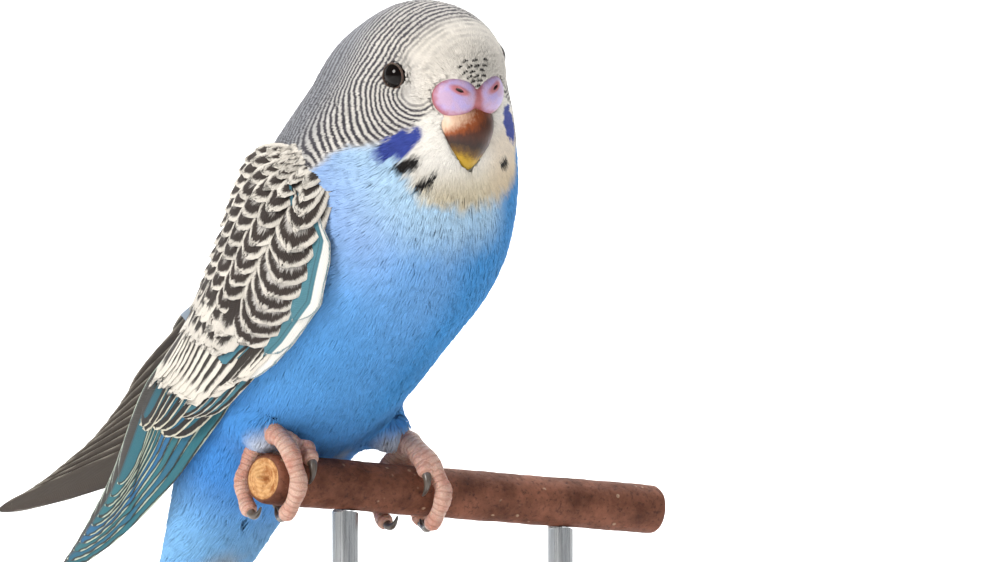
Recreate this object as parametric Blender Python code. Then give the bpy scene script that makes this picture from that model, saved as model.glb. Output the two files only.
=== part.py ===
"""A budgerigar as a life-size still model: it grips a short cut branch held by a plain stand.

Shapes are worked out in millimetres in the bird's own frame: x to its left, y to its back,
z up, with the origin on the branch between the feet. They are written in metres in the
stand's frame, whose origin is the middle of the base's underside.
"""
import math

import bpy
import bmesh
import numpy as np

MM = 0.001
SEED = 12
GAP = 0.3  # between nodes that touch
MERGE = 2e-4  # corners closer than this are one
SHARP_ANGLE = 40.0  # faces that meet more steeply keep a crisp edge

# Where the bird's frame stands on the stand
BIRD_TURN = 10.0
BRANCH_PLACE = (-20.0, -8.0)
BRANCH_HEIGHT = 100.0

# Trunk: its long axis leans back from the upright. Places are left, toward the back, up the axis.
BODY_SLOPE = 49.0
BREAST_PLACE = (0, 20.8, 37.8)
BREAST_SIZE = (21.7, 19.6, 31.2)
BELLY_PLACE = (0, 20.9, 8.9)
BELLY_SIZE = (17.3, 15.2, 22.6)
BELLY_BLEND = 13.0
VENT_TOP = (0, 24.0, 6.0)
VENT_END = (0, 40.0, -18.0)
VENT_RADII = (10.0, 5.8)
VENT_WIDTH = 0.74
VENT_BLEND = 14.0
NECK_PLACE = (0, 22.2, 42.3)
NECK_TOP = (0, 8.3, -9.4)
NECK_WIDTH = 1.18
NECK_RADII = (19.8, 16.8)
NECK_BLEND = 9.0

# Head, in its own frame: x to the left, y back, z up from the eyes' level
HEAD_PLACE = (0, -23.3, 70.2)
HEAD_TURN = (-9.0, -10.0, 7.7)
CROWN_PLACE = (0, 0.9, -1.6)
CROWN_SIZE = (10.5, 13.0, 11.85)
BROW_PLACE = (0, -5.2, -1.1)
BROW_SIZE = (9.1, 9.9, 9.5)
BROW_BLEND = 4.0
CHEEK_PLACE = (0, -2.8, -11.0)
CHEEK_SIZE = (9.5, 9.35, 8.4)
CHEEK_BLEND = 5.0
HEAD_BLEND = 4.5

# Eyes and their lids
EYE_PLACE = (10.2, -5.5, 0.0)
EYE_FACING = (0.90, -0.42, 0.08)
EYE_RADIUS = 2.5
EYE_DEPTH = 2.2
EYE_SUNK = 1.3
LID_RADIUS = 0.55
LID_SPREAD = 0.1
LID_OUT = 0.15

# Cere and nostrils
CERE_PLACE = (3.1, -13.1, -4.1)
CERE_SIZE = (3.7, 2.3, 3.35)
CERE_SPLAY = 25.0
NOSTRIL_PLACE = (2.8, -15.0, -2.3)
NOSTRIL_RADIUS = 0.55
NOSTRIL_DEPTH = 0.7
NOSTRIL_START = 2.5
NOSTRIL_SLANT = 0.4
NOSTRIL_SIDES = 8

# Bill rows in the head's frame: back, up, half the width, half the depth
UPPER_BILL = ((-9.0, -4.5, 4.6, 3.0), (-12.6, -7.6, 4.5, 3.0), (-13.4, -10.5, 3.6, 2.5),
              (-12.9, -13.2, 2.1, 1.6), (-11.7, -15.7, 0.5, 0.45))
LOWER_BILL = ((-6.5, -9.5, 3.6, 2.4), (-9.7, -11.8, 3.5, 2.2), (-10.8, -13.2, 2.6, 1.6),
              (-11.1, -14.4, 1.1, 0.8))
BEAK_ROWS = 8
BEAK_SIDES = 10
BEAK_TIP = 0.3

# Where the flesh is parted into nodes, heights up the head's and the trunk's own axes
HEAD_CUT_HEIGHT = -14.5
HEAD_CUT_TILT = 0.25
NECK_CUT = 43.0
NECK_TILT = 0.12
VENT_CUT = -12.0
CUT_DEPTH = 20.0  # how far back the trunk's cutting planes are hung
CUT_SIZE = 160.0

# The body's box, and how finely each node of it is faced
BODY_BOX = ((-28.0, -46.0, -32.0), (28.0, 52.0, 90.0))
HEAD_STEP = 3.1
NECK_STEP = 4.0
BODY_STEP = 4.6
VENT_STEP = 3.5
THIGH_STEP = 3.0
WING_STEP = 3.8

# Branch
BRANCH_RADIUS = 4.4
BRANCH_ENDS = (-14.4, 62.0)
BRANCH_DROP = 0.11
BRANCH_RISE = 0.4
BRANCH_SLANT = 1.0  # how far the sawn end is off square
BRANCH_BEVEL = 0.45
BRANCH_ROWS = 10
BRANCH_SIDES = 16
BARK_WAVE = 0.05

# Stand
BASE_SIZE = (128.0, 92.0, 8.0)
BASE_ROUND = 6.0
BASE_BEVEL = 1.2
ROD_RADIUS = 2.2
ROD_PLACES = (1.0, 43.0)  # along the branch
ROD_SIDES = 18
SADDLE_REACH = 8.0

# Legs, by side: right is -1. Toe angles go from the branch's top toward the bird's front.
THIGH_RADII = (8.5, 3.8)
THIGH_ROOM = 13.0
SHANK_RADIUS = 1.6
SHANK_ROWS = 4
TOE_RADIUS = 1.5
TOE_TAPER = 0.22
TOE_PADS = 0.07
TOE_ARCH = 1.5
TOE_ARCH_END = 0.45
TOE_ROWS = 7
TOE_SIDES = 6
TOE_END = 0.6
CLAW_RADIUS = 0.75
CLAW_TIP_RADIUS = 0.14
CLAW_LENGTH = 4.2
CLAW_ARCH = 0.5
CLAW_ROWS = 5
CLAW_SIDES = 6
CLAW_END = 0.2
LEGS = {
    -1: {
        "hip": (-9.0, 13.0, 16.0),
        "ankle": (-12.0, 5.5, 9.8),
        "shank_top": (-11.2, 9.5, 13.0),
        "root": (-13.2, -8.0),
        "toes": {
            1: {"along": -9.0, "angle": -118.0},
            2: {"along": -8.4, "angle": 46.0},
            3: {"along": -11.0, "angle": 150.0},
            4: {"along": -15.0, "angle": -150.0},
        },
    },
    1: {
        "hip": (9.5, 12.0, 15.0),
        "ankle": (12.2, 2.0, 8.6),
        "shank_top": (11.4, 6.0, 12.0),
        "root": (13.0, -8.0),
        "toes": {
            1: {"along": 10.4, "angle": -158.0},
            2: {"along": 13.2, "angle": 52.0},
            3: {"along": 16.4, "angle": 146.0},
            4: {"along": 18.0, "angle": -140.0},
        },
    },
}

# Feather vanes: shares of the width at the root and how soon it is full, and of the
# thickness lost at the tip
VANE_ROOT = 0.6
VANE_SWELL = 1.3
VANE_ROUND = 2.2
VANE_THIN = 0.45
VANE_TIP = 0.25  # half the width left at the very tip

# Tail: six pairs, the longest in the middle and on top
TAIL_ROOT = (0, 33.5, -5.0)
TAIL_SLOPE = 18.0
TAIL_LENGTHS = (86.0, 76.0, 64.0, 54.0, 46.0, 39.0)
TAIL_WIDTH = 8.4
TAIL_NARROWING = 0.45
TAIL_THICK = 0.62
TAIL_STEP = 0.45  # each pair lies this much under the last
TAIL_SIDE_STEP = 0.2
TAIL_START = -2.0
TAIL_ROOTS = (0.8, 0.5)
TAIL_TIPS = (1.6, 0.45)
TAIL_ROWS = 5
TAIL_BLUNT = 0.6
TAIL_CORE = ((-3.0, 9.0), (-5.2, 5.2), (-2.45, 0.35))
TAIL_POCKET = ((-3.3, 40.0), (-7.6, 7.6), (-3.4, 1.3))

# Wings: a bowed line from wrist to tip, the way the outer side faces at each end, how round
# the blade is across at each end, and where it leaves the body. Edges are (along, lead, trail).
WING_COVER = 1.6  # from the body to the middle of the wing's outer shell
WING_THICK = 0.6
WINGS = {
    "wing_right": {
        "side": -1,
        "wrist": (-20.5, -14.5, 47.0),
        "bow": (-20.0, 16.5, 5.0),
        "tip": (-11.5, 62.6, -18.2),
        "faces": ((-0.93, -0.3, 0.2), (-1.0, -0.05, -0.05)),
        "round": (21.0, 90.0),
        "leaves": (30.0, 60.0),
        "stretch": 1.0,
        "edges": ((-6, -3, 9), (0, -9.5, 17), (10, -12, 21), (20, -10.7, 20), (30, -8.2, 19),
                  (40, -6, 16), (50, -4.6, 13), (60, -3.3, 10), (70, -1.9, 7), (80, -0.9, 6.5),
                  (90, 0, 5.7), (100, 0.8, 4), (107, 1.5, 2.5)),
    },
    "wing_left": {
        "side": 1,
        "wrist": (19.5, -5.0, 46.0),
        "bow": (18.0, 33.0, 15.0),
        "tip": (-12.0, 78.8, -7.0),
        "faces": ((0.95, -0.1, 0.25), (0.746, 0.537, 0.387)),
        "round": (21.0, 60.0),
        "leaves": (4.0, 54.0),
        "stretch": 1.037,
        "edges": ((-6, -3, 8), (0, -9, 15), (12, -10, 20), (28, -9, 21), (42, -7, 19.5),
                  (55, -4, 19), (66, -2.5, 16.5), (74, -1.5, 11.8), (80, -1.8, 10),
                  (90, -2.5, 7.2), (100, -3, 5.7), (108, -3, 3), (112, -1.5, 0.8)),
    },
}
HUG_ROUNDS = 5
HUG_STEP = 6.0
HUG_LIMIT = 14.0
HUG_SLOPE = 0.25
CORE_REACH = (-4.0, 60.0)
CORE_GRID = (11, 5)
CORE_INSET = 1.2
CORE_DEPTHS = (3.2, 0.9)
TIP_JITTER = 0.6
LEVEL_JITTER = 0.12
ROOT_SHARE = 0.45
TIP_SHARE = 0.5

# Tiers of wing feathers, from the flight feathers up to the smallest coverts. Roots and tips
# are lengths from the wrist at the leading and the back side, span is the part of the width.
WING_TIERS = (
    {"count": 7, "roots": (30, 44), "tips": (107, 72), "span": (0.0, 1.0), "width": 6.0,
     "heights": (-0.9, -0.5), "stack": 1.9, "rows": 5, "blunt": 0.6},
    {"count": 4, "roots": (22, 20), "tips": (57, 65), "span": (0.35, 1.0), "width": 6.8,
     "heights": (-0.8, 1.0), "stack": 0.6, "rows": 5, "blunt": 0.65},
    {"count": 1, "roots": (6, 6), "tips": (39, 40), "span": (0.0, 0.1), "width": 5.0,
     "heights": (-0.6, 0.5), "stack": 0.0, "rows": 5, "blunt": 0.6},
    {"count": 5, "roots": (20, 20), "tips": (43, 50), "span": (0.12, 1.0), "width": 6.4,
     "heights": (-0.8, 1.5), "stack": 0.0, "rows": 4, "blunt": 0.5},
    {"count": 5, "roots": (9, 9), "tips": (31, 36), "span": (0.06, 1.0), "width": 7.0,
     "heights": (-0.8, 1.4), "stack": 0.0, "rows": 4, "blunt": 0.4},
    {"count": 4, "roots": (-1, -1), "tips": (18, 21), "span": (0.06, 1.0), "width": 7.6,
     "heights": (-0.8, 1.2), "stack": 0.0, "rows": 4, "blunt": 0.4},
)


def unit(v):
    return v / np.linalg.norm(v, axis=-1, keepdims=True)


def turn(axis, degrees):
    """The matrix that turns column vectors about one axis."""
    c = math.cos(math.radians(degrees))
    s = math.sin(math.radians(degrees))
    rows = {
        "x": [[1, 0, 0], [0, c, -s], [0, s, c]],
        "y": [[c, 0, s], [0, 1, 0], [-s, 0, c]],
        "z": [[c, -s, 0], [s, c, 0], [0, 0, 1]],
    }
    return np.array(rows[axis], float)


SLOPE = math.radians(BODY_SLOPE)
BODY_AXES = np.array([
    [1, 0, 0],
    [0, math.sin(SLOPE), -math.cos(SLOPE)],
    [0, math.cos(SLOPE), math.sin(SLOPE)],
])
HEAD_AXES = turn("z", HEAD_TURN[0]) @ turn("y", HEAD_TURN[1]) @ turn("x", HEAD_TURN[2])


def on_body(place):
    """A point given by how far left, toward the back and up the body's axis it is."""
    return BODY_AXES @ np.array(place, float)


def on_head(place):
    return np.array(HEAD_PLACE) + HEAD_AXES @ np.array(place, float)


def ball(p, place, size, axes=None):
    """Roughly the distance to an ellipsoid, less than nothing inside it."""
    q = p - np.array(place, float)
    if axes is not None:
        q = q @ axes
    size = np.array(size, float)
    k0 = np.linalg.norm(q / size, axis=-1)
    k1 = np.linalg.norm(q / size ** 2, axis=-1)
    return k0 * (k0 - 1) / np.maximum(k1, 1e-9)


def taper(p, a, b, ra, rb, narrow=1.0):
    """The distance to a round-ended cone from a to b."""
    scale = np.array([narrow, 1, 1])
    q = (p - np.array(a, float)) * scale
    d = (np.array(b, float) - np.array(a, float)) * scale
    length = np.linalg.norm(d)
    d = d / length
    t = np.clip((q @ d) / length, 0, 1)
    return np.linalg.norm(q - t[..., None] * length * d, axis=-1) - (ra + (rb - ra) * t)


def blend(a, b, width):
    h = np.clip(0.5 + 0.5 * (b - a) / width, 0, 1)
    return b + (a - b) * h - width * h * (1 - h)


def trunk_field(p):
    """Breast, belly, undertail and neck as one smooth form."""
    breast = ball(p, on_body(BREAST_PLACE), BREAST_SIZE, BODY_AXES)
    belly = ball(p, on_body(BELLY_PLACE), BELLY_SIZE, BODY_AXES)
    vent = taper(p, VENT_TOP, VENT_END, *VENT_RADII, VENT_WIDTH)
    neck = taper(p, on_body(NECK_PLACE), on_head(NECK_TOP), *NECK_RADII, NECK_WIDTH)
    trunk = blend(blend(breast, belly, BELLY_BLEND), vent, VENT_BLEND)
    return blend(trunk, neck, NECK_BLEND)


def head_field(p):
    q = (p - np.array(HEAD_PLACE)) @ HEAD_AXES
    crown = blend(ball(q, CROWN_PLACE, CROWN_SIZE), ball(q, BROW_PLACE, BROW_SIZE), BROW_BLEND)
    return blend(crown, ball(q, CHEEK_PLACE, CHEEK_SIZE), CHEEK_BLEND)


def body_field(p):
    return blend(trunk_field(p), head_field(p), HEAD_BLEND)


def slope_of(field, p, step=0.05):
    moves = np.eye(3) * step
    return np.stack([field(p + m) - field(p - m) for m in moves], -1) / (2 * step)


def settle(field, p, rounds=4):
    """Moves points onto the surface where the field is nothing."""
    for _ in range(rounds):
        g = slope_of(field, p)
        p = p - g * (field(p) / np.maximum((g ** 2).sum(-1), 1e-6))[..., None]
    return p


def surface(field, low, high, step):
    """One point in each cell of a grid that the surface crosses, joined by four-sided faces."""
    low = np.array(low, float)
    count = np.ceil((np.array(high, float) - low) / step).astype(int) + 1
    axes = [low[i] + step * np.arange(count[i]) for i in range(3)]
    value = field(np.stack(np.meshgrid(*axes, indexing="ij"), -1))
    inside = value < 0
    corners = [(i, j, k) for i in (0, 1) for j in (0, 1) for k in (0, 1)]
    total = np.zeros(tuple(count - 1) + (3,))
    crossings = np.zeros(tuple(count - 1))
    for one in corners:
        for axis in range(3):
            if one[axis]:
                continue
            two = tuple(1 if k == axis else one[k] for k in range(3))
            here = tuple(slice(one[k], count[k] - 1 + one[k]) for k in range(3))
            there = tuple(slice(two[k], count[k] - 1 + two[k]) for k in range(3))
            a, b = value[here], value[there]
            cut = inside[here] != inside[there]
            t = np.where(cut, a / np.where(cut, a - b, 1), 0)
            for k in range(3):
                total[..., k] += np.where(cut, one[k] + (t if k == axis else 0), 0)
            crossings += cut
    used = crossings > 0
    index = -np.ones(used.shape, int)
    index[used] = np.arange(used.sum())
    cells = np.stack(np.nonzero(used), -1)
    points = low + step * (cells + total[used] / crossings[used][:, None])
    faces = []
    for axis in range(3):
        start = tuple(slice(0, count[k] - (k == axis)) for k in range(3))
        end = tuple(slice(int(k == axis), count[k]) for k in range(3))
        spots = np.stack(np.nonzero(inside[start] != inside[end]), -1)
        u, v = (axis + 1) % 3, (axis + 2) % 3
        keep = (spots[:, u] > 0) & (spots[:, v] > 0)
        keep &= (spots[:, u] < count[u] - 1) & (spots[:, v] < count[v] - 1)
        spots = spots[keep]
        corner = []
        for du, dv in ((1, 1), (0, 1), (0, 0), (1, 0)):
            near = spots.copy()
            near[:, u] -= du
            near[:, v] -= dv
            corner.append(index[tuple(near.T)])
        quad = np.stack(corner, -1)
        out = inside[start][tuple(spots.T)]
        faces.append(np.where(out[:, None], quad, quad[:, ::-1]))
    return settle(field, points), np.concatenate(faces).tolist()


def mesh_object(points, faces, name="piece"):
    mesh = bpy.data.meshes.new(name)
    mesh.from_pydata([tuple(p) for p in np.asarray(points, float)], [], [tuple(f) for f in faces])
    bm = bmesh.new()
    bm.from_mesh(mesh)
    bmesh.ops.recalc_face_normals(bm, faces=bm.faces)
    bm.to_mesh(mesh)
    bm.free()
    piece = bpy.data.objects.new(name, mesh)
    bpy.context.scene.collection.objects.link(piece)
    return piece


def largest_surface(mesh):
    """Keeps only the closed surface that holds the most."""
    bm = bmesh.new()
    bm.from_mesh(mesh)
    bmesh.ops.remove_doubles(bm, verts=bm.verts, dist=MERGE)
    bmesh.ops.dissolve_degenerate(bm, dist=MERGE, edges=bm.edges)
    bmesh.ops.triangulate(bm, faces=bm.faces)
    left = set(bm.faces)
    best, best_size = [], -1.0
    while left:
        start = left.pop()
        group, edge = [start], [start]
        while edge:
            face = edge.pop()
            for line in face.edges:
                for other in line.link_faces:
                    if other in left:
                        left.remove(other)
                        group.append(other)
                        edge.append(other)
        size = abs(sum(f.verts[0].co.dot(f.verts[1].co.cross(f.verts[2].co)) for f in group))
        if size > best_size:
            best, best_size = group, size
    kept = set(best)
    bmesh.ops.delete(bm, geom=[f for f in bm.faces if f not in kept], context="FACES")
    bm.to_mesh(mesh)
    bm.free()


def combine(base, pieces, operation, solver):
    """One Boolean on a collection of closed meshes, applied to the base."""
    tools = bpy.data.collections.new("tools")
    bpy.context.scene.collection.children.link(tools)
    for piece in pieces:
        for holder in list(piece.users_collection):
            holder.objects.unlink(piece)
        tools.objects.link(piece)
    step = base.modifiers.new(operation.lower(), "BOOLEAN")
    step.operation = operation
    step.operand_type = "COLLECTION"
    step.collection = tools
    step.solver = solver
    view = bpy.context.evaluated_depsgraph_get()
    made = bpy.data.meshes.new_from_object(base.evaluated_get(view))
    base.modifiers.clear()
    base.data = made
    for piece in list(tools.objects):
        bpy.data.objects.remove(piece)
    bpy.data.collections.remove(tools)
    return base


def join(pieces, solver="MANIFOLD"):
    return combine(pieces[0], pieces[1:], "UNION", solver) if len(pieces) > 1 else pieces[0]


def cut(base, pieces, solver="MANIFOLD"):
    return combine(base, pieces, "DIFFERENCE", solver)


BIRD_AXES = turn("z", BIRD_TURN)


def to_stand(p):
    """From the bird's frame to the stand's, still in millimetres."""
    return np.asarray(p, float) @ BIRD_AXES.T + np.array([*BRANCH_PLACE, BRANCH_HEIGHT])


def material(name, colour, roughness, metallic=0.0):
    made = bpy.data.materials.new(name)
    made.use_nodes = True
    shader = made.node_tree.nodes["Principled BSDF"]
    level = [c / 12.92 if c <= 0.04045 else ((c + 0.055) / 1.055) ** 2.4 for c in colour]
    shader.inputs["Base Color"].default_value = (*level, 1)
    shader.inputs["Roughness"].default_value = roughness
    shader.inputs["Metallic"].default_value = metallic
    made.diffuse_color = (*level, 1)
    return made


def finish(piece, name, look, in_bird=True):
    """Names a node, moves it to the stand's frame in metres and gives it its material."""
    mesh = piece.data
    points = np.empty(len(mesh.vertices) * 3)
    mesh.vertices.foreach_get("co", points)
    points = points.reshape(-1, 3)
    placed = (to_stand(points) if in_bird else points) * MM
    mesh.vertices.foreach_set("co", placed.ravel())
    mesh.update()
    mesh.shade_smooth()
    mesh.set_sharp_from_angle(angle=math.radians(SHARP_ANGLE))
    piece.name = name
    mesh.name = name
    mesh.materials.clear()
    mesh.materials.append(look)
    return piece


def wing_curve(wing, t):
    """Points of the wing's bowed middle line, t going from wrist to tip."""
    wrist, bow, tip = (np.array(wing[key], float) for key in ("wrist", "bow", "tip"))
    t = np.asarray(t, float)[..., None]
    return (1 - t) ** 2 * wrist + 2 * t * (1 - t) * bow + t * t * tip


def wing_lie(wing, t):
    """The way the middle line runs at t."""
    wrist, bow, tip = (np.array(wing[key], float) for key in ("wrist", "bow", "tip"))
    t = np.asarray(t, float)[..., None]
    return unit((1 - t) * (bow - wrist) + t * (tip - bow))


def hug(flat, out):
    """How far points must move along their outward way to lie at the wing's cover."""
    push = np.zeros(flat.shape[:-1])
    probe = 0.1
    for _ in range(HUG_ROUNDS):
        p = flat + out * push[..., None]
        here = body_field(p)
        rise = (body_field(p + out * probe) - here) / probe
        move = (WING_COVER - here) / np.maximum(rise, HUG_SLOPE)
        push = np.clip(push + np.clip(move, -HUG_STEP, HUG_STEP), -HUG_LIMIT, HUG_LIMIT)
    return push


def wing_place(wing, along, across, height=0.0):
    """A point of the folded wing: along from the wrist, across toward the back, height out.

    The blade is an arc across the wing. It lies on the body near the wrist and runs free
    of it near the tip.
    """
    along, across, height = np.broadcast_arrays(*(np.asarray(v, float) for v in (along, across, height)))
    steps = np.linspace(0, 1, 101)
    walked = np.linalg.norm(np.diff(wing_curve(wing, steps), axis=0), axis=1)
    lengths = np.r_[0, np.cumsum(walked)]
    total = lengths[-1]
    t = np.interp(along, lengths, steps)
    lie = wing_lie(wing, t)
    beyond = np.where(along < 0, along, np.maximum(along - total, 0))
    line = wing_curve(wing, t) + lie * beyond[..., None]
    part = np.clip(along / total, 0, 1)[..., None]
    face = unit(np.array(wing["faces"][0])) * (1 - part) + unit(np.array(wing["faces"][1])) * part
    face = unit(face - lie * (face * lie).sum(-1, keepdims=True))
    back = -wing["side"] * np.cross(lie, face)
    radius = wing["round"][0] * (1 - part) + wing["round"][1] * part
    angle = across[..., None] / radius
    out = face * np.cos(angle) + back * np.sin(angle)
    flat = line + radius * (out - face)
    push = hug(flat, out)
    start, end = wing["leaves"]
    free = np.clip((along - start) / (end - start), 0, 1)
    free = free * free * (3 - 2 * free)
    clear = 0.5 * (push + np.sqrt(push * push + 1))
    push = push * (1 - free) + clear * free
    return flat + out * (push + height)[..., None]


def wing_edges(wing, along):
    """How far across the leading and the back edge lie."""
    table = np.array(wing["edges"], float)
    return [np.interp(along, table[:, 0], table[:, k]) for k in (1, 2)]


def tube(path, radii, sides, end_round=0.5):
    """A closed round-ended tube whose rings stay square to its path."""
    path = np.array(path, float)
    lie = unit(np.gradient(path, axis=0))
    side = unit(np.cross(lie[0], [0.31, 0.27, 0.91]))
    points, faces = [], []
    rows = len(path)
    for i in range(rows):
        side = unit(side - lie[i] * (side @ lie[i]))
        other = np.cross(lie[i], side)
        for j in range(sides):
            a = 2 * math.pi * j / sides
            points.append(path[i] + radii[i] * (side * math.cos(a) + other * math.sin(a)))
    for i in range(rows - 1):
        for j in range(sides):
            k = (j + 1) % sides
            a, b = i * sides, (i + 1) * sides
            faces += [(a + j, a + k, b + k), (a + j, b + k, b + j)]
    for row, sign in ((0, -1), (rows - 1, 1)):
        points.append(path[row] + lie[row] * sign * radii[row] * end_round)
        top = len(points) - 1
        for j in range(sides):
            faces.append((row * sides + j, row * sides + (j + 1) % sides, top))
    return mesh_object(points, faces)


def vane(place, root, tip, width, thick, heights, rows, blunt):
    """A feather's vane: a long leaf with a low rib, the same triangles on both faces.

    place maps along, across and height to a point. root and tip are (along, across), and
    blunt is the share of the length after which the vane narrows.
    """
    t = np.linspace(0, 1, rows)
    root, tip = np.array(root, float), np.array(tip, float)
    run = tip - root
    sideways = unit(np.array([-run[1], run[0]]))
    middle = root + t[:, None] * run
    past = np.maximum(t - blunt, 0) / (1 - blunt)
    shape = np.minimum(VANE_ROOT + VANE_SWELL * t, 1.0) * np.sqrt(1 - past ** VANE_ROUND)
    half = np.maximum(shape * width / 2, VANE_TIP)
    lift = heights[0] + (heights[1] - heights[0]) * t
    thin = thick * (1 - VANE_THIN * t ** 3)
    ring = ((-1, 0.5, 1), (0, 0.72, 1), (1, 0.5, 1), (1, 0.5, -1), (0, 0.5, -1), (-1, 0.5, -1))
    grid = []
    for across, fat, face in ring:
        spot = middle + (half * across)[:, None] * sideways
        grid.append(place(spot[:, 0], spot[:, 1], lift + face * fat * thin))
    points = np.stack(grid, 1).reshape(-1, 3)
    faces = []
    count = len(ring)
    for i in range(rows - 1):
        for j in range(count):
            k = (j + 1) % count
            a, b = i * count, (i + 1) * count
            if j < 3:
                faces += [(a + j, a + k, b + k), (a + j, b + k, b + j)]
            else:
                faces += [(a + j, a + k, b + j), (a + k, b + k, b + j)]
    for a in (0, (rows - 1) * count):
        faces += [(a, a + 1, a + 5), (a + 1, a + 4, a + 5)]
        faces += [(a + 1, a + 2, a + 4), (a + 2, a + 3, a + 4)]
    return mesh_object(points, faces)


def half_space(middle, toward):
    """A block whose near face passes half a gap before a point, square to a direction."""
    toward = unit(np.array(toward, float))
    side = unit(np.cross(toward, [1.0, 0, 0]))
    other = np.cross(toward, side)
    near = np.array(middle, float) - toward * GAP / 2

    def place(along, across, height):
        return near + along * toward + across * side + height * other

    wide = (-CUT_SIZE, CUT_SIZE)
    return block(place, (0, CUT_SIZE), wide, wide)


def head_cut(sign):
    """The block above or below the cut between head and neck."""
    toward = HEAD_AXES @ np.array([0, -HEAD_CUT_TILT, 1.0])
    return half_space(on_head((0, 0, HEAD_CUT_HEIGHT)), toward * sign)


def trunk_cut(height, sign, tilt=0.0):
    """The block above or below a cut across the trunk."""
    toward = BODY_AXES @ np.array([0, tilt, 1.0])
    return half_space(on_body((0, CUT_DEPTH, height)), toward * sign)


def body_mesh(step):
    return mesh_object(*surface(body_field, *BODY_BOX, step))


def ring_torus(centre, axis, radius, thick, around=14, across=5):
    """A closed ring about an axis."""
    axis = unit(np.array(axis, float))
    side = unit(np.cross(axis, [0.3, 0.2, 0.9]))
    other = np.cross(axis, side)
    points, faces = [], []
    for i in range(around):
        a = 2 * math.pi * i / around
        out = side * math.cos(a) + other * math.sin(a)
        for j in range(across):
            b = 2 * math.pi * j / across
            points.append(centre + out * (radius + thick * math.cos(b)) + axis * thick * math.sin(b))
            k, m = (i + 1) % around, (j + 1) % across
            faces.append((i * across + j, k * across + j, k * across + m, i * across + m))
    return mesh_object(points, faces)


def ellipsoid(centre, size, axes, around=12, rows=6):
    """A closed ellipsoid; axes holds its three directions as columns."""
    points, faces = [], []
    for i in range(rows):
        polar = math.pi * (i + 1) / (rows + 1)
        for j in range(around):
            a = 2 * math.pi * j / around
            q = np.array([math.sin(polar) * math.cos(a), math.sin(polar) * math.sin(a), math.cos(polar)])
            points.append(centre + axes @ (q * size))
    for i in range(rows - 1):
        for j in range(around):
            k = (j + 1) % around
            faces.append((i * around + j, i * around + k, (i + 1) * around + k, (i + 1) * around + j))
    for row, sign in ((0, 1), (rows - 1, -1)):
        points.append(centre + axes @ (np.array([0, 0, sign]) * size))
        top = len(points) - 1
        for j in range(around):
            faces.append((row * around + j, row * around + (j + 1) % around, top))
    return mesh_object(points, faces)


def eye_spot(side):
    return on_head((side * EYE_PLACE[0], EYE_PLACE[1], EYE_PLACE[2]))


def eye_axis(side):
    """The way an eye looks: out to the side and a little forward."""
    return HEAD_AXES @ unit(np.array([side * EYE_FACING[0], EYE_FACING[1], EYE_FACING[2]]))


def eye_ball(side, grow=0.0):
    axis = eye_axis(side)
    side_way = unit(np.cross(axis, [0, 0, 1.0]))
    axes = np.stack([side_way, np.cross(axis, side_way), axis], 1)
    size = np.array([EYE_RADIUS, EYE_RADIUS, EYE_DEPTH]) + grow
    return ellipsoid(eye_spot(side) - axis * EYE_SUNK, size, axes)


def cere_lobe(side, grow=0.0):
    axes = HEAD_AXES @ turn("z", side * CERE_SPLAY)
    centre = on_head((side * CERE_PLACE[0], CERE_PLACE[1], CERE_PLACE[2]))
    return ellipsoid(centre, np.array(CERE_SIZE) + grow, axes)


def nostril(side):
    """The hole's drill, which starts in front of the lobe and ends inside it."""
    out, back, up = NOSTRIL_PLACE
    start = on_head((side * out, back - NOSTRIL_START, up))
    end = on_head((side * (out - NOSTRIL_SLANT), back + NOSTRIL_DEPTH, up))
    return tube([start, end], [NOSTRIL_RADIUS] * 2, NOSTRIL_SIDES, 0)


def beak(rows, grow=0.0):
    """A curved horn: each row is back, up, half the width and half the depth."""
    table = np.array(rows, float)
    t = np.linspace(0, 1, BEAK_ROWS)
    knots = np.linspace(0, 1, len(table))
    back, up = (smooth_through(table[:, k], t) for k in (0, 1))
    wide, deep = (np.interp(t, knots, table[:, k]) for k in (2, 3))
    points, faces = [], []
    lie = unit(np.stack([np.gradient(back), np.gradient(up)], 1))
    for i in range(BEAK_ROWS):
        across = np.array([0, -lie[i][1], lie[i][0]])
        for j in range(BEAK_SIDES):
            a = 2 * math.pi * j / BEAK_SIDES
            spot = np.array([math.sin(a) * (wide[i] + grow), back[i], up[i]])
            spot = spot + across * math.cos(a) * (deep[i] + grow)
            points.append(on_head(spot))
    for i in range(BEAK_ROWS - 1):
        for j in range(BEAK_SIDES):
            k = (j + 1) % BEAK_SIDES
            a, b = i * BEAK_SIDES, (i + 1) * BEAK_SIDES
            faces.append((a + j, a + k, b + k, b + j))
    for row, sign in ((0, -1), (BEAK_ROWS - 1, 1)):
        tip = np.array([0, back[row], up[row]]) + np.array([0, *lie[row]]) * sign * (BEAK_TIP + grow)
        points.append(on_head(tip))
        top = len(points) - 1
        for j in range(BEAK_SIDES):
            faces.append((row * BEAK_SIDES + j, row * BEAK_SIDES + (j + 1) % BEAK_SIDES, top))
    return mesh_object(points, faces)


def smooth_through(values, t):
    """A smooth curve through evenly spaced values."""
    knots = np.linspace(0, 1, len(values))
    rise = np.gradient(values, knots)
    i = np.clip(np.searchsorted(knots, t, side="right") - 1, 0, len(values) - 2)
    gap = knots[1] - knots[0]
    s = (t - knots[i]) / gap
    h00, h10 = 2 * s ** 3 - 3 * s ** 2 + 1, s ** 3 - 2 * s ** 2 + s
    h01, h11 = -2 * s ** 3 + 3 * s ** 2, s ** 3 - s ** 2
    return h00 * values[i] + h10 * gap * rise[i] + h01 * values[i + 1] + h11 * gap * rise[i + 1]


def body_cutter(step):
    """The body's surface moved out by the gap, to cut what lies on it."""
    return mesh_object(*surface(lambda p: body_field(p) - GAP, *BODY_BOX, step))


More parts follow.
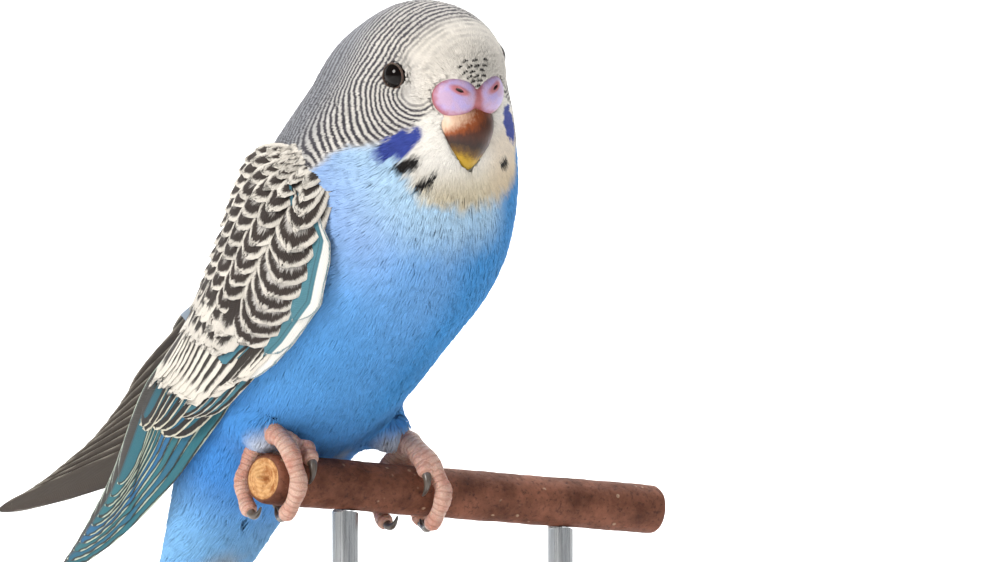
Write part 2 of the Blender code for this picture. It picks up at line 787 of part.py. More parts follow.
def lid(side):
    """The thin rim of skin round an eye."""
    axis = eye_axis(side)
    return ring_torus(eye_spot(side) + axis * LID_OUT, axis, EYE_RADIUS + LID_SPREAD, LID_RADIUS)


def build_head(look):
    head = cut(body_mesh(HEAD_STEP), [head_cut(-1)])
    head = join([head] + [lid(side) for side in (-1, 1)])
    head = cut(head, [eye_ball(side, GAP) for side in (-1, 1)])
    head = cut(head, [cere_lobe(side, GAP) for side in (-1, 1)])
    head = cut(head, [beak(UPPER_BILL, GAP)])
    head = cut(head, [beak(LOWER_BILL, GAP)])
    largest_surface(head.data)
    finish(head, "head", look)


def build_face(looks):
    """The cere with its nostrils, and the bill's two halves fitted under it."""
    lobes = join([cere_lobe(side) for side in (-1, 1)])
    lobes = cut(lobes, [nostril(side) for side in (-1, 1)])
    largest_surface(lobes.data)
    upper = cut(beak(UPPER_BILL), [cere_lobe(side, GAP) for side in (-1, 1)])
    largest_surface(upper.data)
    lower = cut(beak(LOWER_BILL), [beak(UPPER_BILL, GAP)])
    largest_surface(lower.data)
    finish(lobes, "cere", looks["cere"])
    finish(upper, "bill_upper", looks["bill"])
    finish(lower, "bill_lower", looks["bill"])


def build_eyes(look):
    for side, name in ((-1, "eye_right"), (1, "eye_left")):
        finish(eye_ball(side), name, look)


def build_trunk(look):
    """Neck, torso and vent, parted by level cuts so that each faces the next."""
    neck = cut(cut(body_mesh(NECK_STEP), [head_cut(1)]), [trunk_cut(NECK_CUT, -1, NECK_TILT)])
    torso = cut(body_mesh(BODY_STEP), [trunk_cut(NECK_CUT, 1, NECK_TILT)])
    torso = cut(torso, [trunk_cut(VENT_CUT, -1)])
    for side in (-1, 1):
        torso = cut(torso, [join(foot_pieces(side, GAP))])
    vent = cut(body_mesh(VENT_STEP), [trunk_cut(VENT_CUT, 1)])
    vent = cut(vent, [block(tail_place, *TAIL_POCKET)])
    for piece, name in ((neck, "neck"), (torso, "torso"), (vent, "vent")):
        largest_surface(piece.data)
        finish(piece, name, look)


def build_thigh(side, look):
    leg = LEGS[side]
    low = np.minimum(leg["hip"], leg["ankle"]) - THIGH_ROOM
    high = np.maximum(leg["hip"], leg["ankle"]) + THIGH_ROOM

    def thigh_field(p):
        return taper(p, leg["hip"], leg["ankle"], *THIGH_RADII)

    thigh = mesh_object(*surface(thigh_field, low, high, THIGH_STEP))
    thigh = cut(thigh, [body_cutter(THIGH_STEP)])
    thigh = cut(thigh, [join(foot_pieces(side, GAP))])
    largest_surface(thigh.data)
    finish(thigh, "thigh_left" if side > 0 else "thigh_right", look)


BRANCH_LIE = unit(np.array([1.0, 0, 0]) @ BIRD_AXES - np.array([0, 0, BRANCH_DROP]))
BRANCH_UP = unit(np.array([0, 0, 1.0]) - BRANCH_LIE * BRANCH_LIE[2])
BRANCH_FRONT = np.cross(BRANCH_LIE, BRANCH_UP)


def around_branch(along, angle, reach):
    """A point at an angle from the top of the branch toward the bird's front, in degrees."""
    a = np.radians(np.asarray(angle, float))[..., None]
    along = np.asarray(along, float)[..., None]
    reach = np.asarray(reach, float)[..., None]
    middle = np.array([0, 0, BRANCH_RISE]) + along * BRANCH_LIE
    return middle + reach * (np.cos(a) * BRANCH_UP + np.sin(a) * BRANCH_FRONT)


def toe_path(leg, toe, count):
    """The middle line of a toe that comes off the foot's root and wraps the branch."""
    f = np.linspace(0, 1, count)
    radius = toe_radius(f)
    ease = f * f * (3 - 2 * f)
    along = leg["root"][0] + (toe["along"] - leg["root"][0]) * np.minimum(1.6 * ease, 1)
    angle = leg["root"][1] + (toe["angle"] - leg["root"][1]) * f
    lift = TOE_ARCH * np.maximum(1 - f / TOE_ARCH_END, 0)
    return around_branch(along, angle, BRANCH_RADIUS + GAP + radius + lift), radius


def toe_radius(f):
    """A toe tapers, and swells at its three pads."""
    return TOE_RADIUS * (1 + TOE_PADS - TOE_TAPER * f + TOE_PADS * np.cos(f * 6 * math.pi))


def shank_path(side):
    leg = LEGS[side]
    root = around_branch(leg["root"][0], leg["root"][1], BRANCH_RADIUS + GAP + TOE_RADIUS + TOE_ARCH)
    top = np.array(leg["shank_top"], float)
    return top + np.linspace(0, 1, SHANK_ROWS)[:, None] * (root - top)


def shank(side, grow=0.0):
    return tube(shank_path(side), [SHANK_RADIUS + grow] * SHANK_ROWS, TOE_SIDES)


def foot_pieces(side, grow=0.0):
    """The shank and four toes, as they are or grown by the gap to cut what they enter."""
    pieces = [shank(side, grow)]
    for toe in LEGS[side]["toes"].values():
        path, radius = toe_path(LEGS[side], toe, TOE_ROWS)
        pieces.append(tube(path, radius + grow, TOE_SIDES, TOE_END))
    return pieces


def build_foot(side, look):
    foot = join(foot_pieces(side))
    largest_surface(foot.data)
    finish(foot, "foot_left" if side > 0 else "foot_right", look)


def build_claws(side, look):
    """A curved claw before the end of each toe, close along the bark."""
    word = "left" if side > 0 else "right"
    end_radius = float(toe_radius(1.0))
    reach = BRANCH_RADIUS + GAP + end_radius
    f = np.linspace(0, 1, CLAW_ROWS)
    radius = CLAW_RADIUS * (1 - f) ** 0.8 + CLAW_TIP_RADIUS
    out = reach - (end_radius - CLAW_TIP_RADIUS) * f ** 2 + CLAW_ARCH * np.sin(math.pi * f)
    for number, toe in LEGS[side]["toes"].items():
        way = 1 if toe["angle"] > 0 else -1
        start = toe["angle"] + way * math.degrees((TOE_END * end_radius + GAP) / reach)
        angle = start + way * math.degrees(CLAW_LENGTH / reach) * f
        path = around_branch(np.full(CLAW_ROWS, toe["along"]), angle, out)
        claw = tube(path, radius, CLAW_SIDES, CLAW_END)
        finish(claw, f"claw_{word}_{number}", look)


TAIL_ANGLE = math.radians(TAIL_SLOPE)
TAIL_LIE = np.array([0, math.sin(TAIL_ANGLE), -math.cos(TAIL_ANGLE)])
TAIL_OUT = np.array([0, math.cos(TAIL_ANGLE), math.sin(TAIL_ANGLE)])


def tail_place(along, across, height):
    """A point of the tail: along from its root, across to the left, height to the back."""
    along, across, height = np.broadcast_arrays(along, across, height)
    left = np.array([1.0, 0, 0])
    return (np.array(TAIL_ROOT) + along[..., None] * TAIL_LIE + across[..., None] * left
            + height[..., None] * TAIL_OUT)


def block(place, along, across, height):
    """A six-sided block given by its low and high ends in a place function's measures."""
    corners = [place(np.array(float(a)), np.array(float(b)), np.array(float(c)))
               for a in along for b in across for c in height]
    faces = [(0, 1, 3, 2), (4, 6, 7, 5), (0, 4, 5, 1), (2, 3, 7, 6), (0, 2, 6, 4), (1, 5, 7, 3)]
    return mesh_object(corners, faces)


def build_tail(look):
    """Overlapping feathers in pairs round a short core at their roots."""
    pieces = [block(tail_place, *TAIL_CORE)]
    for pair, length in enumerate(TAIL_LENGTHS):
        for side in (-1, 1):
            root = (TAIL_START, side * (TAIL_ROOTS[0] + TAIL_ROOTS[1] * pair))
            fan = TAIL_TIPS[1] * pair * length / TAIL_LENGTHS[-1]
            tip = (length, side * (TAIL_TIPS[0] + fan))
            level = -TAIL_STEP * pair - TAIL_SIDE_STEP * (side > 0)
            width = TAIL_WIDTH - TAIL_NARROWING * pair
            pieces.append(vane(tail_place, root, tip, width, TAIL_THICK, (level, level),
                               TAIL_ROWS, TAIL_BLUNT))
    tail = join(pieces)
    largest_surface(tail.data)
    finish(tail, "tail", look)


def wing_core(wing):
    """The wing's outer shell under its feathers, sunk into the body's side to be cut there."""
    rows, columns = CORE_GRID
    along = np.linspace(*CORE_REACH, rows)
    lead, trail = wing_edges(wing, along)
    t = np.linspace(0, 1, columns)
    across = (lead + CORE_INSET)[:, None] * (1 - t) + (trail - CORE_INSET)[:, None] * t
    deep = np.interp(along, (0, wing["leaves"][1]), CORE_DEPTHS)[:, None]
    spots = np.broadcast_to(along[:, None], across.shape)
    top = wing_place(wing, spots, across)
    bottom = wing_place(wing, spots, across, -deep)
    points = np.concatenate([top.reshape(-1, 3), bottom.reshape(-1, 3)])
    under = rows * columns
    faces = []
    for i in range(rows - 1):
        for j in range(columns - 1):
            a = i * columns + j
            b, c, d = a + 1, a + columns + 1, a + columns
            faces += [(a, b, c), (a, c, d)]
            faces += [(under + a, under + c, under + b), (under + a, under + d, under + c)]
    rim = [(i, 0) for i in range(rows)]
    rim += [(rows - 1, j) for j in range(1, columns)]
    rim += [(i, columns - 1) for i in range(rows - 2, -1, -1)]
    rim += [(0, j) for j in range(columns - 2, 0, -1)]
    for k, (i, j) in enumerate(rim):
        m, n = rim[(k + 1) % len(rim)]
        a, b = i * columns + j, m * columns + n
        faces += [(a, b, under + b), (a, under + b, under + a)]
    return mesh_object(points, faces)


def wing_row(wing, tier, random):
    """One tier of feathers across the wing, from its leading edge to its back edge."""
    def place(along, across, height):
        return wing_place(wing, along, across, height)

    pieces = []
    low, high = tier["heights"]
    for k in range(tier["count"]):
        f = (k + 0.5) / tier["count"]
        start = tier["roots"][0] + (tier["roots"][1] - tier["roots"][0]) * f
        end = tier["tips"][0] + (tier["tips"][1] - tier["tips"][0]) * f
        end = end * wing["stretch"] + random.uniform(-TIP_JITTER, TIP_JITTER)
        spot = tier["span"][0] + (tier["span"][1] - tier["span"][0]) * f
        ends = []
        for along, share in ((start, ROOT_SHARE), (end, TIP_SHARE)):
            lead, trail = (float(v) for v in wing_edges(wing, along))
            inset = min(tier["width"] * share, (trail - lead) / 2)
            ends.append((along, lead + inset + (trail - lead - 2 * inset) * spot))
        lift = tier["stack"] * f + LEVEL_JITTER * (k % 2)
        pieces.append(vane(place, *ends, tier["width"], WING_THICK, (low + lift, high + lift),
                           tier["rows"], tier["blunt"]))
    return pieces


def build_wing(name, look):
    wing = WINGS[name]
    random = np.random.default_rng(SEED + (wing["side"] > 0))
    pieces = [wing_core(wing)]
    for tier in WING_TIERS:
        pieces += wing_row(wing, tier, random)
    blade = cut(join(pieces), [body_cutter(WING_STEP)])
    largest_surface(blade.data)
    finish(blade, name, look)


def branch_radius(along, angle):
    """Bark swells a little in slow waves and never passes its named radius."""
    long_wave = np.sin(along * 0.21 + 1.0)
    short_wave = 0.6 * np.sin(along * 0.53 + 2 * np.sin(angle))
    lobes = np.sin(3 * angle + 0.1 * along)
    return BRANCH_RADIUS + BARK_WAVE * (long_wave + short_wave + lobes - 2.6)


def build_branch(look):
    """A short cut length with a sawn face a little off square at the bird's right foot."""
    points, faces = [], []
    low, high = BRANCH_ENDS
    for i in range(BRANCH_ROWS):
        f = i / (BRANCH_ROWS - 1)
        for j in range(BRANCH_SIDES):
            a = 2 * math.pi * j / BRANCH_SIDES
            along = low + (high - low) * f + BRANCH_SLANT * math.sin(a) * max(0.0, 1 - f * 3)
            middle_row = 0 < i < BRANCH_ROWS - 1
            radius = branch_radius(along, a) if middle_row else BRANCH_RADIUS - BRANCH_BEVEL
            points.append(around_branch(along, math.degrees(a), radius))
    for i in range(BRANCH_ROWS - 1):
        for j in range(BRANCH_SIDES):
            k = (j + 1) % BRANCH_SIDES
            a, b = i * BRANCH_SIDES, (i + 1) * BRANCH_SIDES
            faces.append((a + j, a + k, b + k, b + j))
    faces.append(tuple(range(BRANCH_SIDES)))
    faces.append(tuple(range((BRANCH_ROWS - 1) * BRANCH_SIDES, BRANCH_ROWS * BRANCH_SIDES)))
    finish(mesh_object(points, faces), "perch", look)


def build_stand(looks):
    """A flat base and two upright rods whose tops are saddled to the branch."""
    finish(bevelled_block(BASE_SIZE, BASE_ROUND), "stand_base", looks["wood"], in_bird=False)
    for number, along in enumerate(ROD_PLACES, 1):
        top = to_stand(around_branch(along, 0.0, 0.0))
        low = np.array([top[0], top[1], BASE_SIZE[2] + GAP])
        rod = tube([low, top], [ROD_RADIUS] * 2, ROD_SIDES, 0.0)
        reach = np.array([along - SADDLE_REACH, along + SADDLE_REACH])
        saddle = tube(to_stand(around_branch(reach, 0.0, 0.0)), [BRANCH_RADIUS + GAP] * 2,
                      ROD_SIDES, 0.0)
        rod = cut(rod, [saddle])
        largest_surface(rod.data)
        finish(rod, f"stand_rod_{number}", looks["steel"], in_bird=False)


def bevelled_block(size, rounding):
    """A flat plate with rounded upright corners and a small bevel on its top edge."""
    mesh = bpy.data.meshes.new("plate")
    bm = bmesh.new()
    bmesh.ops.create_cube(bm, size=1.0)
    bmesh.ops.scale(bm, vec=size, verts=bm.verts)
    bmesh.ops.translate(bm, vec=(0, 0, size[2] / 2), verts=bm.verts)
    upright = [e for e in bm.edges if abs(e.verts[0].co.z - e.verts[1].co.z) > 1]
    bmesh.ops.bevel(bm, geom=upright, offset=rounding, segments=5, affect="EDGES", profile=0.5)
    top = [e for e in bm.edges if min(v.co.z for v in e.verts) > size[2] - 0.01]
    bmesh.ops.bevel(bm, geom=top, offset=BASE_BEVEL, segments=2, affect="EDGES", profile=0.5)
    bm.to_mesh(mesh)
    bm.free()
    plate = bpy.data.objects.new("plate", mesh)
    bpy.context.scene.collection.objects.link(plate)
    return plate


def clear_scene():
    for thing in list(bpy.data.objects):
        bpy.data.objects.remove(thing)


def main():
    clear_scene()
    looks = {
        "blue": material("blue_plumage", (0.42, 0.58, 0.86), 0.8),
        "head": material("barred_plumage", (0.86, 0.86, 0.83), 0.8),
        "wing": material("wing_plumage", (0.62, 0.62, 0.58), 0.75),
        "tail": material("tail_plumage", (0.10, 0.16, 0.38), 0.7),
        "cere": material("cere_skin", (0.74, 0.66, 0.82), 0.45),
        "bill": material("bill_horn", (0.42, 0.25, 0.13), 0.4),
        "eye": material("eye", (0.02, 0.02, 0.03), 0.05),
        "foot": material("foot_skin", (0.82, 0.62, 0.58), 0.6),
        "claw": material("claw_horn", (0.45, 0.36, 0.32), 0.4),
        "bark": material("bark", (0.36, 0.17, 0.12), 0.85),
        "wood": material("base_wood", (0.22, 0.14, 0.09), 0.5),
        "steel": material("rod_steel", (0.70, 0.70, 0.70), 0.3, 1.0),
    }
    build_head(looks["head"])
    build_face(looks)
    build_eyes(looks["eye"])
    build_trunk(looks["blue"])
    for side in (-1, 1):
        build_thigh(side, looks["blue"])
        build_foot(side, looks["foot"])
        build_claws(side, looks["claw"])
    build_tail(looks["tail"])
    for name in WINGS:
        build_wing(name, looks["wing"])
    build_branch(looks["bark"])
    build_stand(looks)


main()
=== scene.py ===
import math

import bpy
import numpy as np
from mathutils import Matrix, Vector


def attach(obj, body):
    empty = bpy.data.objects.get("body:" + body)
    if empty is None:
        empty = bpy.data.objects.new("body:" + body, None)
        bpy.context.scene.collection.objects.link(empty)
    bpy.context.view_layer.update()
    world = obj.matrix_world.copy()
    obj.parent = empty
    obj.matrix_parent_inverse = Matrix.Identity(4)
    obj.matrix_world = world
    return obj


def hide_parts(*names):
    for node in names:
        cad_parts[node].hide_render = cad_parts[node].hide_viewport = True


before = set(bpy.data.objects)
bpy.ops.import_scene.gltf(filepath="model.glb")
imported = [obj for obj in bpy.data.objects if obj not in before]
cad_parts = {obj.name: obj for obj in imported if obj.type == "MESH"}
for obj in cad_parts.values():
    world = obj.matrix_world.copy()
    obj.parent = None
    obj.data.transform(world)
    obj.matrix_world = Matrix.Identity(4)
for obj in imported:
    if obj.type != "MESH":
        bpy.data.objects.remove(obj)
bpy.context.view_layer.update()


# A life-size model of a young blue budgerigar. Shapes are worked out in millimetres in the
# bird's own frame, as in the solids: x to its left, y to its back, z up, with the origin on
# the branch between the feet. They are written in metres in the stand's frame.
MM = 0.001
SEED = 7

# Where the bird's frame stands on the stand
BIRD_TURN = 10.0
BIRD_ORIGIN = (-20.0, -8.0, 100.0)

# Trunk and head, the same named forms as the solids
BODY_SLOPE = 49.0
TRUNK_BACK = 20.8
BREAST_PLACE = (0, TRUNK_BACK, 37.8)
BREAST_SIZE = (21.7, 19.6, 31.2)
BELLY_PLACE = (0, 20.9, 8.9)
BELLY_SIZE = (17.3, 15.2, 22.6)
BELLY_BLEND = 13.0
VENT_TOP = (0, 24.0, 6.0)
VENT_END = (0, 40.0, -18.0)
VENT_RADII = (10.0, 5.8)
VENT_WIDTH = 0.74
VENT_BLEND = 14.0
NECK_PLACE = (0, 22.2, 42.3)
NECK_TOP = (0, 8.3, -9.4)
NECK_WIDTH = 1.18
NECK_RADII = (19.8, 16.8)
NECK_BLEND = 9.0
HEAD_PLACE = (0, -23.3, 70.2)
HEAD_TURN = (-9.0, -10.0, 7.7)
CROWN_PLACE = (0, 0.9, -1.6)
CROWN_SIZE = (10.5, 13.0, 11.85)
BROW_PLACE = (0, -5.6, -0.8)
BROW_SIZE = (9.2, 10.0, 9.8)
BROW_BLEND = 4.0
CHEEK_PLACE = (0, -2.8, -11.0)
CHEEK_SIZE = (9.5, 9.35, 8.4)
CHEEK_BLEND = 5.0
HEAD_BLEND = 4.5
THIGH_RADII = (8.5, 3.8)
THIGH_BLEND = 3.0
BODY_BOX = ((-28.0, -46.0, -32.0), (28.0, 52.0, 90.0))

# Eyes, cere and bill
EYE_PLACE = (10.1, -6.0, 0.5)
EYE_FACING = (0.95, -0.31, 0.08)
EYE_SIZE = (2.5, 2.5, 2.2)
EYE_SUNK = 1.3
LID_RADIUS = 2.0
LID_TUBE = 0.16
LID_REACH = LID_RADIUS + LID_TUBE
CERE_PLACE = (2.95, -13.1, -3.5)
CERE_SIZE = (3.75, 2.3, 3.45)
CERE_SPLAY = 25.0
NOSTRIL_PLACE = (3.2, -14.9, -2.3)
NOSTRIL_TILT = -24.0
FACE_PLACE = (0.0, -14.0, -4.0)
FACE_ROLL = 5.5
FACE_SHIFT = (-0.30, 0.0, 0.15)
BILL_SHIFT = (-0.40, 0.0, -0.45)
UPPER_BILL = ((-9.0, -4.5, 4.7, 3.0), (-12.6, -7.6, 4.7, 3.0), (-13.4, -10.5, 3.8, 2.5),
              (-12.9, -13.2, 2.1, 1.6), (-11.7, -15.7, 0.5, 0.45))
LOWER_BILL = ((-6.5, -9.5, 3.6, 2.4), (-9.7, -11.8, 3.5, 2.2), (-10.8, -13.2, 2.6, 1.6),
              (-11.1, -14.4, 1.1, 0.8))

# Branch, legs and claws
BRANCH_RADIUS = 4.4
BRANCH_ENDS = (-14.4, 62.0)
BRANCH_DROP = 0.11
BRANCH_RISE = 0.4
BRANCH_SLANT = 1.0
GAP = 0.3
SHANK_RADIUS = 1.6
TOE_RADIUS = 1.5
TOE_TAPER = 0.22
TOE_PADS = 0.07
TOE_ARCH = 1.5
TOE_ARCH_END = 0.45
TOE_END = 0.6
SCUTE = 0.95  # length of one cross plate on a toe
CLAW_RADIUS = 0.75
CLAW_LENGTH = 4.2
CLAW_ARCH = 0.5
LEGS = {
    -1: {"hip": (-9.0, 13.0, 16.0), "ankle": (-12.0, 5.5, 9.8), "top": (-11.2, 9.5, 13.0),
         "root": (-13.2, -8.0),
         "toes": ((-9.0, -118.0), (-8.4, 46.0), (-11.0, 150.0), (-15.0, -150.0))},
    1: {"hip": (9.5, 12.0, 15.0), "ankle": (12.2, 2.0, 8.6), "top": (11.4, 6.0, 12.0),
        "root": (13.0, -8.0),
        "toes": ((10.4, -158.0), (13.2, 52.0), (16.4, 146.0), (18.0, -140.0))},
}

# Tail and wings
TAIL_ROOT = (0, 33.5, -5.0)
TAIL_SLOPE = 18.0
TAIL_LENGTHS = (86.0, 76.0, 64.0, 54.0, 46.0, 39.0)
TAIL_WIDTH = 8.4
WING_COVER = 1.6
WINGS = {
    "right": {
        "side": -1, "wrist": (-20.5, -14.5, 47.0), "bow": (-20.0, 16.5, 5.0),
        "tip": (-11.5, 62.6, -18.2), "faces": ((-0.93, -0.3, 0.2), (-1.0, -0.05, -0.05)),
        "round": (21.0, 90.0), "leaves": (30.0, 60.0), "stretch": 1.0,
        "edges": ((-6, -3, 9), (0, -9.5, 17), (10, -12, 21), (20, -10.7, 20), (30, -8.2, 19),
                  (40, -6, 16), (50, -4.6, 13), (60, -3.3, 10), (70, -1.9, 7), (80, -0.9, 6.5),
                  (90, 0, 5.7), (100, 0.8, 4), (107, 1.5, 2.5))},
    "left": {
        "side": 1, "wrist": (19.5, -5.0, 46.0), "bow": (18.0, 33.0, 15.0),
        "tip": (-12.0, 78.8, -7.0), "faces": ((0.95, -0.1, 0.25), (0.746, 0.537, 0.387)),
        "round": (21.0, 60.0), "leaves": (4.0, 54.0), "stretch": 1.037,
        "edges": ((-6, -3, 8), (0, -9, 15), (12, -10, 20), (28, -9, 21), (42, -7, 19.5),
                  (55, -4, 19), (66, -2.5, 16.5), (74, -1.5, 11.8), (80, -1.8, 10),
                  (90, -2.5, 7.2), (100, -3, 5.7), (108, -3, 3), (112, -1.5, 0.8))},
}

# How deep the skin lies under the outer face of the coat
COAT_HEAD = 0.75
COAT_BODY = 1.2
SKIN_STEP = 0.9


def unit(v):
    return v / np.maximum(np.linalg.norm(v, axis=-1, keepdims=True), 1e-9)


def ramp(v, low, high):
    """Goes smoothly from 0 at low to 1 at high."""
    t = np.clip((v - low) / (high - low), 0, 1)
    return t * t * (3 - 2 * t)


def turn(axis, degrees):
    """The matrix that turns column vectors about one axis."""
    c = math.cos(math.radians(degrees))
    s = math.sin(math.radians(degrees))
    rows = {
        "x": [[1, 0, 0], [0, c, -s], [0, s, c]],
        "y": [[c, 0, s], [0, 1, 0], [-s, 0, c]],
        "z": [[c, -s, 0], [s, c, 0], [0, 0, 1]],
    }
    return np.array(rows[axis], float)


SLOPE = math.radians(BODY_SLOPE)
BODY_AXES = np.array([
    [1, 0, 0],
    [0, math.sin(SLOPE), -math.cos(SLOPE)],
    [0, math.cos(SLOPE), math.sin(SLOPE)],
])
HEAD_AXES = turn("z", HEAD_TURN[0]) @ turn("y", HEAD_TURN[1]) @ turn("x", HEAD_TURN[2])
BIRD_AXES = turn("z", BIRD_TURN)


def on_body(place):
    return BODY_AXES @ np.array(place, float)


def on_head(place):
    return np.array(HEAD_PLACE) + np.asarray(place, float) @ HEAD_AXES.T


def in_head(p):
    return (p - np.array(HEAD_PLACE)) @ HEAD_AXES


def on_face(place):
    """A place of the cere or bill, which sit a little askew on the head."""
    turned = (np.asarray(place, float) - np.array(FACE_PLACE)) @ turn("y", FACE_ROLL).T
    return on_head(turned + np.array(FACE_PLACE) + np.array(FACE_SHIFT))


def in_face(q):
    moved = q - np.array(FACE_PLACE) - np.array(FACE_SHIFT)
    return moved @ turn("y", FACE_ROLL) + np.array(FACE_PLACE)


def to_stand(p):
    return np.asarray(p, float) @ BIRD_AXES.T + np.array(BIRD_ORIGIN)


def mirrored(place, side):
    """A place given for the bird's left, or the same place on its right where side is -1."""
    return np.array([side * place[0], place[1], place[2]])


def ball(p, place, size, axes=None):
    """Roughly the distance to an ellipsoid, less than nothing inside it."""
    q = p - np.array(place, float)
    if axes is not None:
        q = q @ axes
    size = np.array(size, float)
    k0 = np.linalg.norm(q / size, axis=-1)
    k1 = np.linalg.norm(q / size ** 2, axis=-1)
    return k0 * (k0 - 1) / np.maximum(k1, 1e-9)


def taper(p, a, b, ra, rb, narrow=1.0):
    """The distance to a round-ended cone from a to b, narrowed from side to side."""
    scale = np.array([narrow, 1, 1])
    q = (p - np.array(a, float)) * scale
    d = (np.array(b, float) - np.array(a, float)) * scale
    length = np.linalg.norm(d)
    d = d / length
    t = np.clip((q @ d) / length, 0, 1)
    return np.linalg.norm(q - t[..., None] * length * d, axis=-1) - (ra + (rb - ra) * t)


def blend(a, b, width):
    """Joins two fields with a soft fillet of the width."""
    h = np.clip(0.5 + 0.5 * (b - a) / width, 0, 1)
    return b + (a - b) * h - width * h * (1 - h)


def trunk_field(p):
    breast = ball(p, on_body(BREAST_PLACE), BREAST_SIZE, BODY_AXES)
    belly = ball(p, on_body(BELLY_PLACE), BELLY_SIZE, BODY_AXES)
    vent = taper(p, VENT_TOP, VENT_END, *VENT_RADII, VENT_WIDTH)
    neck = taper(p, on_body(NECK_PLACE), on_head(NECK_TOP), *NECK_RADII, NECK_WIDTH)
    trunk = blend(blend(breast, belly, BELLY_BLEND), vent, VENT_BLEND)
    return blend(trunk, neck, NECK_BLEND)


def head_field(p):
    q = in_head(p)
    crown = blend(ball(q, CROWN_PLACE, CROWN_SIZE), ball(q, BROW_PLACE, BROW_SIZE), BROW_BLEND)
    return blend(crown, ball(q, CHEEK_PLACE, CHEEK_SIZE), CHEEK_BLEND)


def body_field(p):
    return blend(trunk_field(p), head_field(p), HEAD_BLEND)


def coat_field(p):
    """The outer face of the whole coat: the body with its thighs."""
    thighs = [taper(p, leg["hip"], leg["ankle"], *THIGH_RADII) for leg in LEGS.values()]
    return blend(body_field(p), np.minimum(*thighs), THIGH_BLEND)


def headness(p):
    """1 on the head, 0 on the trunk."""
    return ramp(trunk_field(p) - head_field(p), -5.0, 4.0)


def coat_depth(p):
    """The coat is thin on the head and thinnest beside the bill, cere and eyes."""
    q = in_head(p)
    depth = COAT_BODY + (COAT_HEAD - COAT_BODY) * headness(p)
    face = np.linalg.norm(q - np.array([0, -13.5, -7.0]), axis=-1)
    return depth * (0.55 + 0.45 * ramp(face, 5.5, 9.5))


def skin_field(p):
    return coat_field(p) + coat_depth(p)


def slope_of(field, p, step=0.05):
    moves = np.eye(3) * step
    return np.stack([field(p + m) - field(p - m) for m in moves], -1) / (2 * step)


def settle(field, p, rounds, level=0.0):
    """Moves points onto the surface where the field has the level."""
    for _ in range(rounds):
        g = slope_of(field, p)
        p = p - g * ((field(p) - level) / np.maximum((g ** 2).sum(-1), 1e-6))[..., None]
    return p


def surface(field, low, high, step):
    """One point in each cell of a grid that the surface crosses, joined by four-sided faces."""
    low = np.array(low, float)
    count = np.ceil((np.array(high, float) - low) / step).astype(int) + 1
    axes = [low[i] + step * np.arange(count[i]) for i in range(3)]
    value = np.empty(tuple(count))
    for i in range(count[0]):
        plane = np.stack(np.meshgrid(axes[0][i:i + 1], axes[1], axes[2], indexing="ij"), -1)
        value[i] = field(plane)[0]
    inside = value < 0
    corners = [(i, j, k) for i in (0, 1) for j in (0, 1) for k in (0, 1)]
    total = np.zeros(tuple(count - 1) + (3,))
    crossings = np.zeros(tuple(count - 1))
    for one in corners:
        for axis in range(3):
            if one[axis]:
                continue
            two = tuple(1 if k == axis else one[k] for k in range(3))
            here = tuple(slice(one[k], count[k] - 1 + one[k]) for k in range(3))
            there = tuple(slice(two[k], count[k] - 1 + two[k]) for k in range(3))
            a, b = value[here], value[there]
            cut = inside[here] != inside[there]
            t = np.where(cut, a / np.where(cut, a - b, 1), 0)
            for k in range(3):
                total[..., k] += np.where(cut, one[k] + (t if k == axis else 0), 0)
            crossings += cut
    used = crossings > 0
    index = -np.ones(used.shape, int)
    index[used] = np.arange(used.sum())
    cells = np.stack(np.nonzero(used), -1)
    points = low + step * (cells + total[used] / crossings[used][:, None])
    faces = []
    for axis in range(3):
        start = tuple(slice(0, count[k] - (k == axis)) for k in range(3))
        end = tuple(slice(int(k == axis), count[k]) for k in range(3))
        spots = np.stack(np.nonzero(inside[start] != inside[end]), -1)
        u, v = (axis + 1) % 3, (axis + 2) % 3
        keep = (spots[:, u] > 0) & (spots[:, v] > 0)
        keep &= (spots[:, u] < count[u] - 1) & (spots[:, v] < count[v] - 1)
        spots = spots[keep]
        corner = []
        for du, dv in ((1, 1), (0, 1), (0, 0), (1, 0)):
            near = spots.copy()
            near[:, u] -= du
            near[:, v] -= dv
            corner.append(index[tuple(near.T)])
        quad = np.stack(corner, -1)
        out = inside[start][tuple(spots.T)]
        faces.append(np.where(out[:, None], quad, quad[:, ::-1]))
    return settle(field, points, 2), np.concatenate(faces)


def put(name, data):
    made = bpy.data.objects.new(name, data)
    bpy.context.scene.collection.objects.link(made)
    return made


def volume(points, faces):
    """Six times the volume that closed faces hold, less than nothing where they face inward."""
    return sum((points[f[:, 0]] * np.cross(points[f[:, k]], points[f[:, k + 1]])).sum()
               for f in faces for k in range(1, f.shape[1] - 1))


